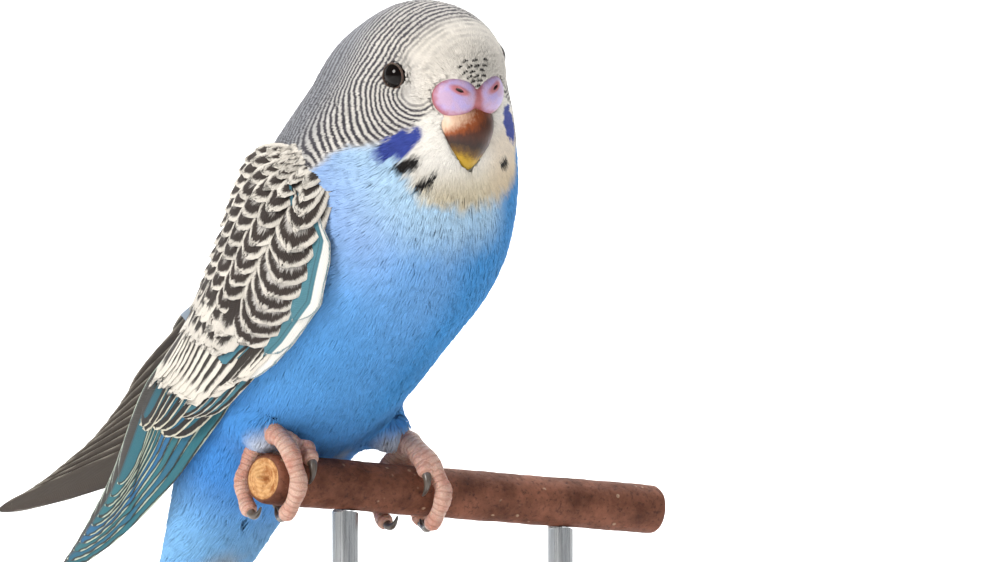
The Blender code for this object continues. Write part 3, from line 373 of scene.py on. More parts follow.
def piece(name, points, faces, look, replaces=(), values=None, uv=None, normals=None):
    """Makes a smooth mesh from arrays, in the stand's frame, and lets it ride on the model.

    faces is one array or several with different numbers of corners, values are named numbers,
    colours or vectors at the points, and uv is given at the points or at the face corners.
    normals, at the points, shade small feathers as part of the smooth coat they lie in.
    """
    faces = faces if isinstance(faces, (list, tuple)) else [faces]
    if volume(points, faces) < 0:
        faces = [f[:, ::-1] for f in faces]
    corners = np.concatenate([f.ravel() for f in faces]).astype(np.int32)
    sizes = np.concatenate([np.full(len(f), f.shape[1]) for f in faces])
    starts = np.concatenate([[0], np.cumsum(sizes)[:-1]]).astype(np.int32)
    mesh = bpy.data.meshes.new(name)
    mesh.vertices.add(len(points))
    mesh.vertices.foreach_set("co", (to_stand(points) * MM).astype(np.float32).ravel())
    mesh.loops.add(len(corners))
    mesh.loops.foreach_set("vertex_index", corners)
    mesh.polygons.add(len(sizes))
    mesh.polygons.foreach_set("loop_start", starts)
    mesh.update(calc_edges=True)
    mesh.validate()
    mesh.shade_smooth()
    kinds = {1: ("FLOAT", "value"), 3: ("FLOAT_VECTOR", "vector"), 4: ("FLOAT_COLOR", "color")}
    for key, value in (values or {}).items():
        value = np.asarray(value, np.float32)
        kind, field = kinds[1 if value.ndim == 1 else value.shape[1]]
        mesh.attributes.new(key, kind, "POINT").data.foreach_set(field, value.ravel())
    if uv is not None:
        uv = np.asarray(uv, np.float32)
        spread = uv[corners] if len(uv) == len(points) else uv
        mesh.uv_layers.new(name="OFBake").data.foreach_set("uv", spread.ravel())
    if normals is not None:
        turned = (unit(normals) @ BIRD_AXES.T).astype(np.float32)
        mesh.normals_split_custom_set_from_vertices(turned)
    made = put(name, mesh)
    mesh.materials.append(look)
    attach(made, "root")
    if replaces:
        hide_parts(*replaces)
    return made


def leaf_faces(rows, columns):
    """The faces of a thin closed leaf: a grid of points above, the same below, and its rim."""
    size = rows * columns
    grid = np.arange(size).reshape(rows, columns)
    quad = np.stack([grid[:-1, :-1], grid[:-1, 1:], grid[1:, 1:], grid[1:, :-1]], -1)
    quad = quad.reshape(-1, 4)
    ring = np.concatenate([grid[0], grid[1:, -1], grid[-1, -2::-1], grid[-2:0:-1, 0]])
    after = np.roll(ring, -1)
    rim = np.stack([after, ring, ring + size, after + size], -1)
    return np.concatenate([quad, quad[:, ::-1] + size, rim])


def tube_faces(rows, sides):
    """The faces of a closed tube: rings of points, then one point at each end."""
    grid = np.arange(rows * sides).reshape(rows, sides)
    beside = np.roll(grid, -1, 1)
    quads = np.stack([grid[:-1], beside[:-1], beside[1:], grid[1:]], -1).reshape(-1, 4)
    first, last = np.full(sides, rows * sides), np.full(sides, rows * sides + 1)
    caps = [np.stack([beside[0], grid[0], first], -1), np.stack([grid[-1], beside[-1], last], -1)]
    return [quads, np.concatenate(caps)]


def linear(code):
    """A colour written as sRGB hex, in the linear values that Blender works in."""
    parts = [int(code[i:i + 2], 16) / 255 for i in (0, 2, 4)]
    return [c / 12.92 if c <= 0.04045 else ((c + 0.055) / 1.055) ** 2.4 for c in parts]


def rgba(code):
    return (*linear(code), 1)


def add(tree, kind, *values, out=0, **settings):
    """Adds a node with its settings and its inputs, in order or named in a dict.

    An input is a value or another node's output. Gives the output that out names.
    """
    made = tree.nodes.new("ShaderNode" + kind)
    for key, value in settings.items():
        setattr(made, key, value)
    named = values[0] if values and isinstance(values[0], dict) else dict(enumerate(values))
    for socket, value in named.items():
        if isinstance(value, bpy.types.NodeSocket):
            tree.links.new(value, made.inputs[socket])
        else:
            made.inputs[socket].default_value = value
    return made.outputs[out]


def new_material(name, roughness, **sockets):
    """A material with its shader, whose constant values are set on its own sockets."""
    made = bpy.data.materials.new(name)
    made.use_nodes = True
    tree = made.node_tree
    shader = tree.nodes["Principled BSDF"]
    shader.inputs["Roughness"].default_value = roughness
    for key, value in sockets.items():
        shader.inputs[key.replace("_", " ")].default_value = value
    return made, tree, shader


def dress(made, tree, shader, colour, height, depth, strength):
    """Ends a material with its colour and its relief, whose depth is in metres."""
    tree.links.new(colour, shader.inputs["Base Color"])
    relief = add(tree, "Bump", {"Height": height, "Distance": depth, "Strength": strength})
    tree.links.new(relief, shader.inputs["Normal"])
    return made


# Markings, in the head's frame (left, back, up from the eyes) or by how far up the trunk
BAR_PITCH = 1.15
BAR_GROWTH = 0.034
NAPE_AXIS = (4.0, -26.0)
NAPE_REACH = 20.0
NAPE_START = 7.0
BAR_LINE = (56.7, -23.0, 0.75)
CHEEK_PATCHES = (
    ((-12.6, -9.9, -9.8), (-6.7, 3.2, -3.4), (0.1, -1.7, -3.1), 4.5, 2.0),
    ((8.6, -10.6, -10.2), (2.4, 2.0, -5.1), (3.0, 1.5, 2.0), 4.0, 2.1),
)
FLECKS = ((-1.6, 2.2), (0.0, 2.1), (1.9, 1.8), (-2.5, 1.4), (-1.0, 1.2), (0.1, 1.1), (1.5, 0.9),
          (-1.9, 0.4), (-0.8, 0.3), (0.7, 0.3), (-1.3, -0.4), (-0.2, -0.5), (0.9, -0.6),
          (-0.8, -1.2), (0.2, -1.3), (-0.2, -2.0))
FOREHEAD = (0.0, -14.9, -2.5)
THROAT_SPOTS = (
    (-13.1, -11.1, -13.3, 1.0), (-11.5, -11.8, -12.9, 1.15), (-9.9, -13.2, -16.3, 1.0),
    (-11.1, -12.8, -16.9, 0.55), (-8.6, -13.4, -15.3, 0.5), (6.0, -11.9, -16.0, 0.9),
    (11.6, -11.8, -12.9, 1.15), (13.1, -11.1, -13.3, 1.0), (7.6, -11.6, -16.6, 0.5),
)
COLOURS = {
    "sky": "5499da", "deep_sky": "418ad6", "breast": "74abe6", "shoulder": "9ab7e6",
    "painted_light_collar": "bcdff9", "flank": "3a8ccf",
    "mask": "f3efe7", "mask_low": "ddd0b2", "forehead": "e6e0d6", "crown": "c2beb9",
    "nape": "92959b", "cheek": "3a4a9d", "spot": "1c1a19", "bar": "45434a",
    "vent": "78b2e4", "undertail": "a8a18c", "leg_white": "dfdfe2",
    "grey_patch": "a7a9a6", "ear": "d8d4ce", "beige": "dcc6a8",
}


def tone(name):
    return np.array(linear(COLOURS[name]))


def mixed(a, b, share):
    return a + (b - a) * np.clip(share, 0, 1)[..., None]


def in_ball(q, place, size):
    """How far out a point lies in an ellipsoid: 1 on its surface."""
    return np.linalg.norm((q - np.array(place, float)) / np.array(size, float), axis=-1)


def wander(p, scale, seed=0.0):
    """A slow smooth value from -1 to 1 that varies over about the scale in millimetres."""
    a = p @ np.array([0.83, 0.41, 0.37]) / scale + seed
    b = p @ np.array([-0.35, 0.86, -0.37]) / scale + 1.7 * seed
    c = p @ np.array([-0.43, -0.29, 0.85]) / scale + 2.3 * seed
    return (np.sin(6.3 * a + 2 * np.sin(3.1 * b)) + np.sin(5.1 * b + 2 * np.sin(4.2 * c))
            + np.sin(7.0 * c + 1.5 * np.sin(3.7 * a))) / 3


def markings(p):
    """The plumage at points of the body: ground colour, and the bars' phase and strength."""
    q = in_head(p)
    x, back, up = q[..., 0], q[..., 1], q[..., 2]
    wide = np.abs(x)
    trunk = p @ BODY_AXES
    height = trunk[..., 2]
    behind = trunk[..., 1] - TRUNK_BACK

    # Trunk: paler and more violet at the shoulder, deeper blue low on the belly, with painted shade
    # on the left flank
    tint = mixed(tone("deep_sky"), tone("sky"), ramp(height, -5, 20))
    tint = mixed(tint, tone("breast"), ramp(height, 25, 52))
    side = ramp(np.abs(trunk[..., 0]), 7, 17) * ramp(height, 36, 52) * ramp(-behind, -12, 2)
    tint = mixed(tint, tone("shoulder"), 0.8 * side)
    # Painted shade: the front from the middle to the bird's left side, turned from the key lamp, is
    # mixed toward a deeper blue
    flank = ramp(trunk[..., 0], -4.5, 5.0) * ramp(height, 4, 18) * (1 - ramp(behind, -4, 3))
    tint = mixed(tint, tone("flank"), 0.92 * flank)
    tint = mixed(tint, tone("vent"), ramp(-height, 10, 30))
    tail_under = in_ball(p + 1.2 * wander(p, 6.0)[..., None], (-2.0, 31.0, -22.0), (6.0, 9.0, 11.0))
    tint = mixed(tint, tone("undertail"), 0.8 * (1 - ramp(tail_under, 0.4, 1.1)))
    for leg in LEGS.values():
        cuff = in_ball(p, np.array(leg["ankle"]) - (0, 1.2, 2.2), (4.4, 4.0, 3.4))
        tint = mixed(tint, tone("leg_white"), 0.75 * (1 - ramp(cuff, 0.4, 1.2)))
    for spot in ((-3.0, 5.6, 10.5), (4.5, 7.2, 5.5)):
        patch = in_ball(p + 0.8 * wander(p, 6.0)[..., None], spot, (3.0, 4.5, 3.0))
        tint = mixed(tint, tone("grey_patch"), 0.6 * (1 - ramp(patch, 0.3, 1.0)))
    tint = tint * (1 + 0.05 * wander(p, 14.0))[..., None]

    # Back: barred mantle above a plain blue rump
    mantle = ramp(behind, 1.5, 8.0) * ramp(height, -2.0, 14.0) * (1 - ramp(height, 40.0, 46.0))

    # Head: bars run across the crown and nape, and in finer rings round the lore under the eye
    lore = np.linalg.norm(np.stack([wide - 8.4, back + 10.3, up + 1.1], -1), axis=-1)
    over = back + 0.42 * up
    under = lore - 11.0 - 0.4 * np.maximum(10.0 - lore, 0)
    rising = ramp(up + 0.25 * (back + 5), -3.0, 2.5)
    arcs = np.linalg.norm(q - np.array(FOREHEAD), axis=-1) - 18.9
    top = over + (arcs - over) * (1 - ramp(over, -10.0, -7.0))
    widen = np.maximum(top + 5.0, 0)
    top = np.minimum(top, -5.0) + np.log1p(BAR_GROWTH * widen) / BAR_GROWTH
    swing = np.arctan2(back - NAPE_AXIS[0], np.maximum(up - NAPE_AXIS[1], -8.0))
    swung = NAPE_REACH * swing + NAPE_START
    round_nape = ramp(back, 1.0, 9.0)
    phase = (under * (1 - rising) + top * rising) * (1 - round_nape) + swung * round_nape
    phase = phase / BAR_PITCH
    phase = phase + 0.16 * wander(p, 6.0) + 0.07 * wander(p, 2.3, 0.3)
    line = BAR_LINE[0] - BAR_LINE[2] * np.maximum(p[..., 1] - BAR_LINE[1], 0)
    above = p[..., 2] - line + 0.5 * wander(p, 4.0, 0.7)
    above = np.minimum(above, 0.4 * (height - 16.0))
    head = ramp(above, -1.0, 1.2)
    crown = 0.22 + 0.78 * ramp(over, -9.5, -3.0)
    crown = crown * ramp(np.maximum(over + 9.5, up - 2.2), 0.0, 2.0)
    dashed = 0.55 + 0.75 * wander(p, 3.2, 0.2)
    crown = crown * (1 - np.clip(dashed, 0, 1) * (1 - ramp(over, -8.5, -3.5)))
    rings = ramp(lore, 1.8, 4.0) * ramp(wide + 0.5 * (back + 12.0), 5.6, 7.4)
    strength = crown * rising + rings * (1 - rising)
    strength = strength * (1 - 0.22 * ramp(back, 2.0, 11.0))
    ground = mixed(tone("forehead"), tone("crown"), ramp(over, -9.0, -3.5) * ramp(up, 2, 9))
    ground = mixed(ground, tone("ear"), ramp(wide, 7, 10))
    ground = mixed(ground, tone("nape"), ramp(back, -2, 10))
    tint = mixed(tint, ground, head)
    strength = strength * ramp(above, -0.2, 1.4)

    # Mask: cream to white under the cheeks, ragged at its lower edge
    rag = 0.06 * wander(p, 3.0, 0.4)
    edge = -4.9 - 0.86 * np.maximum(wide - 7.0, 0)
    bowl = ((wide / 13.6) ** 3 + np.abs((up + 8.0) / 13.8) ** 3) ** (1 / 3) + rag
    # Painted light: a pale pool under the mask on the bird's right and front, where the key lamp
    # falls
    painted_light_collar = (1 - ramp(bowl, 1.05, 1.75)) * (1 - head)
    painted_light_collar = painted_light_collar * (1 - ramp(x, 1, 8)) * (1 - ramp(back, -4, 2))
    tint = mixed(tint, tone("painted_light_collar"), 0.9 * painted_light_collar)
    mask = (1 - ramp(bowl, 0.9, 1.07)) * (1 - ramp(up - edge, -0.5, 0.6))
    mask = mask * (1 - ramp(back, -8.6, -6.8))
    cream = mixed(tone("mask"), tone("mask_low"), ramp(-up, 13, 20))
    cream = mixed(cream, tone("beige"), 0.55 * ramp(x, -1.0, 5.0) * ramp(-up, 7, 13))
    tint = mixed(tint, cream, mask)
    strength = strength * (1 - mask)

    # Violet cheek patches over the mask's upper corners
    for place, run, cross, long, half in CHEEK_PATCHES:
        run, cross = unit(np.array(run, float)), np.array(cross, float)
        cross = unit(cross - run * (cross @ run))
        spot = q - np.array(place) + 0.45 * wander(p, 2.2, 0.9)[..., None]
        far = np.sqrt((spot @ run / long) ** 2 + (spot @ cross / half) ** 2)
        patch = (1 - ramp(far, 0.86, 1.04)) * (np.abs((spot * np.cross(run, cross)).sum(-1)) < 5)
        tint = mixed(tint, tone("cheek") * (1 + 0.15 * wander(p, 1.7))[..., None], patch)
        strength = strength * (1 - patch)
    for left, rear, high, radius in THROAT_SPOTS:
        size = (radius * 1.4, radius * 1.8, radius * 1.1)
        dot = 1 - ramp(in_ball(q, (left, rear, high), size) + 1.2 * rag, 0.85, 1.0)
        tint = mixed(tint, tone("spot"), dot)
        strength = strength * (1 - dot)
    return tint, phase, strength, mantle


def barbs_material(name, roughness):
    """Soft contour feathers: keratin barbs, dyed through. Matt, with a faint silky sheen.

    The ground colour comes with each feather; dark bars, 1.15 mm apart, are laid over it where
    the bird has them, and every feather is a little lighter or darker than the next, and darker
    at its root as a painted shade under its neighbours. The bars waver over 1.1 mm. Barbules
    are 0.02 mm apart, too fine to show, and are drawn at 0.19 mm.
    """
    made, tree, shader = new_material(name, roughness, Sheen_Weight=0.06, Sheen_Roughness=0.5,
                                      Specular_IOR_Level=0.25)
    tint = add(tree, "Attribute", attribute_name="tint")
    marks = add(tree, "Attribute", attribute_name="marks", out=1)
    phase, strength, seed = add(tree, "SeparateXYZ", marks).node.outputs
    place = add(tree, "TexCoord", out=3)
    drift = add(tree, "TexNoise", {"Vector": place, "Scale": 900.0, "Detail": 2.0})
    wavy = add(tree, "Math", drift, 0.10, phase, operation="MULTIPLY_ADD")
    wave = add(tree, "Math", wavy, 0.5, operation="PINGPONG")
    dark = add(tree, "MapRange", {0: wave, 1: 0.13, 2: 0.37}, interpolation_type="SMOOTHSTEP")
    dark = add(tree, "Math", dark, strength, operation="MULTIPLY", use_clamp=True)
    barred = add(tree, "Mix", {0: dark, 6: tint, 7: rgba(COLOURS["bar"])}, out=2, data_type="RGBA")
    shade = add(tree, "MapRange", {0: seed, 1: 0.0, 2: 1.0, 3: 0.82, 4: 1.14})
    level = add(tree, "CombineXYZ", shade, shade, shade)
    colour = add(tree, "Mix", {0: 1.0, 6: barred, 7: level}, out=2, data_type="RGBA",
                 blend_type="MULTIPLY")
    fine = add(tree, "TexNoise", {"Vector": place, "Scale": 5200.0, "Detail": 3.0})
    return dress(made, tree, shader, colour, fine, 0.00008, 0.5)


# The skin's own unwrap: the trunk rolled out round its axis, the head spread from the brow
CHART_TRUNK = 1 / 172.0
CHART_WIDTH = 118 * CHART_TRUNK
CHART_MIDDLE = (0.34, 0.285)
CHART_HEAD = 0.4 / 62.0 * 12.0
CHART_DISC = (0.21, 0.785)
CHART_POLE = (0, -0.66, 0.75)
CHART_RIM = 12.5
TUFT_PATCH = 0.003


def chart(p):
    """Where points of the skin lie on its unwrap, and whether they are on the head's disc."""
    q = in_head(p) - np.array([0, -2.0, -4.0])
    d = unit(q)
    pole = unit(np.array(CHART_POLE, float))
    left = np.array([1.0, 0, 0])
    front = np.cross(left, pole)
    far = np.arccos(np.clip(d @ pole, -1, 1))
    around = np.arctan2(d @ front, d @ left)
    disc = np.array(CHART_DISC) + (CHART_HEAD * far)[..., None] * np.stack(
        [np.cos(around), np.sin(around)], -1)
    body = p @ BODY_AXES
    angle = np.arctan2(body[..., 0], TRUNK_BACK - body[..., 1])
    rolled = np.stack([CHART_MIDDLE[0] + angle / (2 * math.pi) * CHART_WIDTH,
                       CHART_MIDDLE[1] + (body[..., 2] - 6.0) * CHART_TRUNK], -1)
    on = in_head(p) @ np.array(CHART_POLE) > -CHART_RIM
    return disc, rolled, on


def lie_of(p, outward):
    """The way the coat lies: away from the bill on the head, and down the trunk."""
    q = in_head(p)
    from_bill = unit(q - np.array([0, -15.5, -4.5])) + np.array([0, 0.45, -0.12])
    on_top = unit(from_bill) @ HEAD_AXES.T
    body = p @ BODY_AXES
    down = np.ones(body.shape) * np.array([0.010, -0.15, -1.0])
    down[..., 0] *= body[..., 0]
    flank = ramp(np.abs(body[..., 0]), 8, 19) * ramp(body[..., 2], 20, 50)
    down[..., 1] += 0.9 * flank
    down[..., 1] += 0.35 * ramp(-body[..., 2], 12, 30)
    share = ramp(trunk_field(p) - head_field(p), -12.0, 2.0)[..., None]
    way = unit(down) @ BODY_AXES.T * (1 - share) + on_top * share
    for side in (-1, 1):
        off = p - on_head(mirrored(EYE_PLACE, side))
        far = np.linalg.norm(off, axis=-1)
        toward = unit(off)
        into = np.minimum((way * toward).sum(-1), 0) * (1 - ramp(far, 3.2, 6.0))
        way = way - 1.25 * into[..., None] * toward
    way = way - outward * (way * outward).sum(-1, keepdims=True)
    return unit(way)


SKIN_NODES = ("head", "neck", "torso", "vent", "thigh_left", "thigh_right")


def build_skin(look):
    points, faces = surface(skin_field, *BODY_BOX, SKIN_STEP)
    tint, phase, strength, mantle = markings(points)
    disc, rolled, on = chart(points)
    flat = faces.ravel()
    many = np.repeat(on[faces].sum(1) >= 2, 4)
    uv = np.where(many[:, None], disc[flat], rolled[flat])
    turns = rolled[flat][:, 0].reshape(-1, 4)
    split = (turns.max(1) - turns.min(1) > CHART_WIDTH / 2)[:, None] & (turns < CHART_MIDDLE[0])
    wrapped = turns + np.where(split, CHART_WIDTH, 0)
    uv[:, 0] = np.where(many, uv[:, 0], wrapped.ravel())
    # The skin shows only in the coat's gaps; its colours are darkened a little as painted shade
    # under the feathers
    values = {"tint": np.c_[tint * 0.92, np.ones(len(points))],
              "marks": np.stack([phase, strength, np.full(len(points), 0.45)], -1)}
    return piece("skin", points, faces, look, SKIN_NODES, values, uv)


def skin_again(mesh):
    """The skin's points and faces back from its mesh, in the bird's frame in millimetres."""
    points = np.empty(len(mesh.vertices) * 3, np.float32)
    mesh.vertices.foreach_get("co", points)
    corners = np.empty(len(mesh.loops), np.int32)
    mesh.loops.foreach_get("vertex_index", corners)
    points = points.reshape(-1, 3).astype(float) / MM
    return (points - np.array(BIRD_ORIGIN)) @ BIRD_AXES, corners.reshape(-1, 4)


def scatter(points, faces, spacing, random):
    """Points spread evenly over a skin, about one spacing apart, which may vary."""
    a, b, c, d = (points[faces[:, k]] for k in range(4))
    area = 0.5 * np.linalg.norm(np.cross(c - a, d - b), axis=1)
    count = int(area.sum() / (0.3 * spacing(points).min()) ** 2)
    chosen = random.choice(len(faces), min(count, 500000), p=area / area.sum())
    s, t = random.random((2, len(chosen), 1))
    one, two = a[chosen] * (1 - s) + b[chosen] * s, d[chosen] * (1 - s) + c[chosen] * s
    spots = one * (1 - t) + two * t
    gap = spacing(spots)
    order = np.arange(len(spots))
    for shift in (0.0, 0.5, 0.25, 0.75):
        level = np.round(np.log(gap[order]) * 8)
        cell = gap[order] * 1.02
        key = np.floor(spots[order] / cell[:, None] + shift).astype(np.int64)
        mark = (key[:, 0] * 73856093) ^ (key[:, 1] * 19349663) ^ (key[:, 2] * 83492791)
        mark = mark ^ (level.astype(np.int64) * 2654435761)
        _, first = np.unique(mark, return_index=True)
        order = order[np.sort(first)]
    return spots[order]


# Small body feathers: each is a fan of barbs that parts at its tip
BARBS = 6
BARB_ROWS = (0.0, 0.5, 1.0)
BARB_RISE = (0.45, 0.9, 1.0)
FAN = (0.45, 1.0, 0.88)
COAT_BATCH = 3100


def fleck_places():
    """The small dark flecks above the groove between the cere's lobes."""
    left, up = np.array(FLECKS).T
    return on_head(np.stack([left, -15.2 + 0.06 * left ** 2, up], -1))


def tuft_size(p):
    """Length and width of the feathers at points: shortest on the face, longest at the vent."""
    q = in_head(p)
    face = np.linalg.norm(q - np.array([0, -13.5, -5.0]), axis=-1)
    head = headness(p)
    length = 3.1 + 1.4 * ramp(-(p @ BODY_AXES)[..., 2], 8, 30)
    length = length + (1.8 - length) * head
    length = length * (0.58 + 0.42 * ramp(face, 6, 13))
    for side in (-1, 1):
        eye = np.linalg.norm(p - on_head(mirrored(EYE_PLACE, side)), axis=-1)
        length = length * (0.5 + 0.5 * ramp(eye, 2.9, 6.0))
    return length, length * 0.42 + 0.12


def tuft_spacing(p):
    length, _ = tuft_size(p)
    return np.clip(0.235 * length, 0.34, 0.95)


def clear_of_face(p, room):
    """Whether points are clear of the eyes, the cere and the bill."""
    q = in_head(p)
    clear = np.ones(p.shape[:-1], bool)
    for side in (-1, 1):
        clear &= np.linalg.norm(q - mirrored(EYE_PLACE, side), axis=-1) > LID_REACH + room
        lobe = (in_face(q) - mirrored(CERE_PLACE, side)) @ turn("z", side * CERE_SPLAY)
        clear &= np.linalg.norm(lobe / (np.array(CERE_SIZE) + room), axis=-1) > 1.0
    q = in_face(q) - np.array(BILL_SHIFT)
    for table in (UPPER_BILL, LOWER_BILL):
        for (b0, u0, w0, d0), (b1, u1, w1, d1) in zip(table[:-1], table[1:]):
            for t in (0.0, 0.5):
                middle = np.array([0, b0 + (b1 - b0) * t, u0 + (u1 - u0) * t])
                deep = d0 + (d1 - d0) * t + room
                size = np.array([w0 + (w1 - w0) * t + room, deep, deep])
                clear &= np.linalg.norm((q - middle) / size, axis=-1) > 1.0
    return clear


def build_coat(skin_points, skin_faces, look):
    random = np.random.default_rng(SEED)
    spots = scatter(skin_points, skin_faces, tuft_spacing, random)
    spots = settle(skin_field, spots, 1)
    spots = spots[clear_of_face(spots, 0.05)]
    region = np.where(headness(spots) > 0.5, 0, 1 + (spots @ BODY_AXES)[:, 2] // -8)
    spots = spots[np.lexsort((spots[:, 2], region))]
    flecks = settle(skin_field, fleck_places(), 3)
    spots = np.concatenate([flecks, spots])
    flecked = np.arange(len(spots)) < len(flecks)
    outward = unit(slope_of(skin_field, spots))
    way = lie_of(spots, outward)
    side = np.cross(outward, way)
    veer = (random.normal(0, 0.08, len(spots)) + 0.08 * wander(spots, 9.0))[:, None]
    way, side = way * np.cos(veer) + side * np.sin(veer), side * np.cos(veer) - way * np.sin(veer)
    length, width = tuft_size(spots)
    length = length * random.uniform(0.85, 1.15, len(spots))
    tips = spots + way * length[:, None]
    length = length * np.where(clear_of_face(tips, 0.1), 1.0, 0.45)
    length, width = np.where(flecked, 0.75, length), np.where(flecked, 0.85, width)
    _, _, _, mantle = markings(spots)
    keep = random.random(len(spots)) > 0.97 * mantle
    spots, way, side, outward, length, width, flecked = (
        a[keep] for a in (spots, way, side, outward, length, width, flecked))
    depth = coat_depth(spots) + 0.10 * flecked
    for start in range(0, len(spots), COAT_BATCH):
        pick = slice(start, start + COAT_BATCH)
        m = len(spots[pick])
        o = np.linspace(-1, 1, BARBS)[None, :] + random.normal(0, 0.10, (m, BARBS))
        t = np.array(BARB_ROWS)
        reach = length[pick][:, None, None] * t * (1 - 0.20 * o[..., None] ** 2
                                                   + random.normal(0, 0.05, (m, BARBS, 1)))
        across = o[..., None] * width[pick][:, None, None] / 2 * np.array(FAN)
        across = across + random.normal(0, 0.05, (m, BARBS, 1)) * t ** 2
        line = (spots[pick][:, None, None] + way[pick][:, None, None] * reach[..., None]
                + side[pick][:, None, None] * across[..., None])
        rise = depth[pick][:, None, None] * np.array(BARB_RISE)
        rise = rise + random.normal(0, 0.05, (m, BARBS, 1)) * t - 0.10 * (o[..., None] ** 2)
        line = settle(skin_field, line, 2, rise)
        half = (width[pick] / BARBS * 0.85)[:, None, None]
        wide = half * (1 - 0.25 * np.array(BARB_ROWS))
        up = outward[pick][:, None, None] * (wide * 0.32)[..., None]
        sideways = side[pick][:, None, None] * wide[..., None]
        lower = line - up * 0.5
        rings = np.stack([lower - sideways, lower + sideways, line + up], 3)
        points = np.concatenate([rings[:, :, :2].reshape(m, BARBS, 6, 3), line[:, :, 2:]], 2)
        lean = 0.75 * side[pick][:, None, None] * np.ones((1, BARBS, 3, 1))
        face_on = (outward[pick] + 0.12 * way[pick])[:, None, None] * np.ones((1, BARBS, 3, 1))
        rounds = np.stack([face_on - lean, face_on + lean, face_on], 3)
        normals = np.concatenate([rounds[:, :, :2].reshape(m, BARBS, 6, 3), rounds[:, :, 2, 2:]], 2)
        base = 7 * np.arange(m * BARBS)[:, None, None]
        quads = np.array([(0, 1, 4, 3), (1, 2, 5, 4), (2, 0, 3, 5)]) + base
        ends = np.array([(0, 2, 1), (3, 4, 6), (4, 5, 6), (5, 3, 6)]) + base
        rows = np.array([0, 0, 0, 1, 1, 1, 2])
        tint, phase, strength, _ = markings(line.reshape(-1, 3))
        shape = (m, BARBS, 3)
        jitter = random.normal(0, 0.06, (m, 1, 1)) + random.normal(0, 0.045, (m, BARBS, 1))
        phase = phase.reshape(shape) + jitter
        seed = 0.5 + random.normal(0, 0.10, (m, 1, 1)) + random.normal(0, 0.10, (m, BARBS, 1))
        # Each feather is darker at its root, a painted shade under the feathers that cover it, and
        # a little lighter at its tip
        seed = seed + np.array([-0.4, -0.02, 0.15])
        marks = np.stack([phase, strength.reshape(shape), seed], -1)[:, :, rows]
        tint = tint.reshape(m, BARBS, 3, 3)
        dark = (flecked[pick][:, None] & (np.arange(3) > 0))[:, None, :, None]
        tint = np.where(dark, tone("spot"), tint)
        colour = tint[:, :, rows]
        colour = np.concatenate([colour, np.ones(colour.shape[:-1] + (1,))], -1)
        disc, rolled, on = chart(spots[pick])
        centre = np.where(on[:, None], disc, rolled)
        own = np.stack([np.broadcast_to(0.45 * o[..., None], shape),
                        np.broadcast_to(0.9 * (t - 0.5), shape)], -1)
        uv = centre[:, None, None] + TUFT_PATCH * own[:, :, rows]
        piece(f"body_feathers_{start // COAT_BATCH + 1}", points.reshape(-1, 3),
              [quads.reshape(-1, 4), ends.reshape(-1, 3)], look, (),
              {"tint": colour.reshape(-1, 4), "marks": marks.reshape(-1, 3)},
              uv.reshape(-1, 2), normals.reshape(-1, 3))


def wing_curve(wing, t):
    wrist, bow, tip = (np.array(wing[key], float) for key in ("wrist", "bow", "tip"))
    t = np.asarray(t, float)[..., None]
    return (1 - t) ** 2 * wrist + 2 * t * (1 - t) * bow + t * t * tip


def wing_lie(wing, t):
    wrist, bow, tip = (np.array(wing[key], float) for key in ("wrist", "bow", "tip"))
    t = np.asarray(t, float)[..., None]
    return unit((1 - t) * (bow - wrist) + t * (tip - bow))


def hug(flat, out):
    """How far points must move along their outward way to lie at the wing's cover."""
    push = np.zeros(flat.shape[:-1])
    probe = 0.1
    for _ in range(5):
        p = flat + out * push[..., None]
        here = body_field(p)
        rise = (body_field(p + out * probe) - here) / probe
        move = (WING_COVER - here) / np.maximum(rise, 0.25)
        push = np.clip(push + np.clip(move, -6, 6), -14, 14)
    return push


def wing_place(wing, along, across, height):
    """A point of the folded wing: along from the wrist, across toward the back, height out."""
    given = (np.asarray(v, float) for v in (along, across, height))
    along, across, height = np.broadcast_arrays(*given)
    steps = np.linspace(0, 1, 101)
    walked = np.linalg.norm(np.diff(wing_curve(wing, steps), axis=0), axis=1)
    lengths = np.r_[0, np.cumsum(walked)]
    total = lengths[-1]
    t = np.interp(along, lengths, steps)
    lie = wing_lie(wing, t)
    beyond = np.where(along < 0, along, np.maximum(along - total, 0))
    line = wing_curve(wing, t) + lie * beyond[..., None]
    part = np.clip(along / total, 0, 1)[..., None]
    fore, aft = (unit(np.array(face)) for face in wing["faces"])
    face = fore * (1 - part) + aft * part
    face = unit(face - lie * (face * lie).sum(-1, keepdims=True))
    back = -wing["side"] * np.cross(lie, face)
    radius = wing["round"][0] * (1 - part) + wing["round"][1] * part
    angle = across[..., None] / radius
    out = face * np.cos(angle) + back * np.sin(angle)
    flat = line + radius * (out - face)
    push = hug(flat, out)
    free = ramp(along, *wing["leaves"])
    clear = 0.5 * (push + np.sqrt(push * push + 1))
    push = push * (1 - free) + clear * free
    return flat + out * (push + height)[..., None]


def wing_edges(wing, along):
    table = np.array(wing["edges"], float)
    return [np.interp(along, table[:, 0], table[:, k]) for k in (1, 2)]


TAIL_ANGLE = math.radians(TAIL_SLOPE)
TAIL_LIE = np.array([0, math.sin(TAIL_ANGLE), -math.cos(TAIL_ANGLE)])
TAIL_OUT = np.array([0, math.cos(TAIL_ANGLE), math.sin(TAIL_ANGLE)])


def tail_place(along, across, height):
    left = np.array([1.0, 0, 0])
    return (np.array(TAIL_ROOT) + along[..., None] * TAIL_LIE + across[..., None] * left
            + height[..., None] * TAIL_OUT)


# Vanes: how blunt their tips are, how finely their rims are measured, and their barbs' pitch
VANE_ROUND = 2.2
RIM_STEPS = 70
BARB_PITCH = 0.42


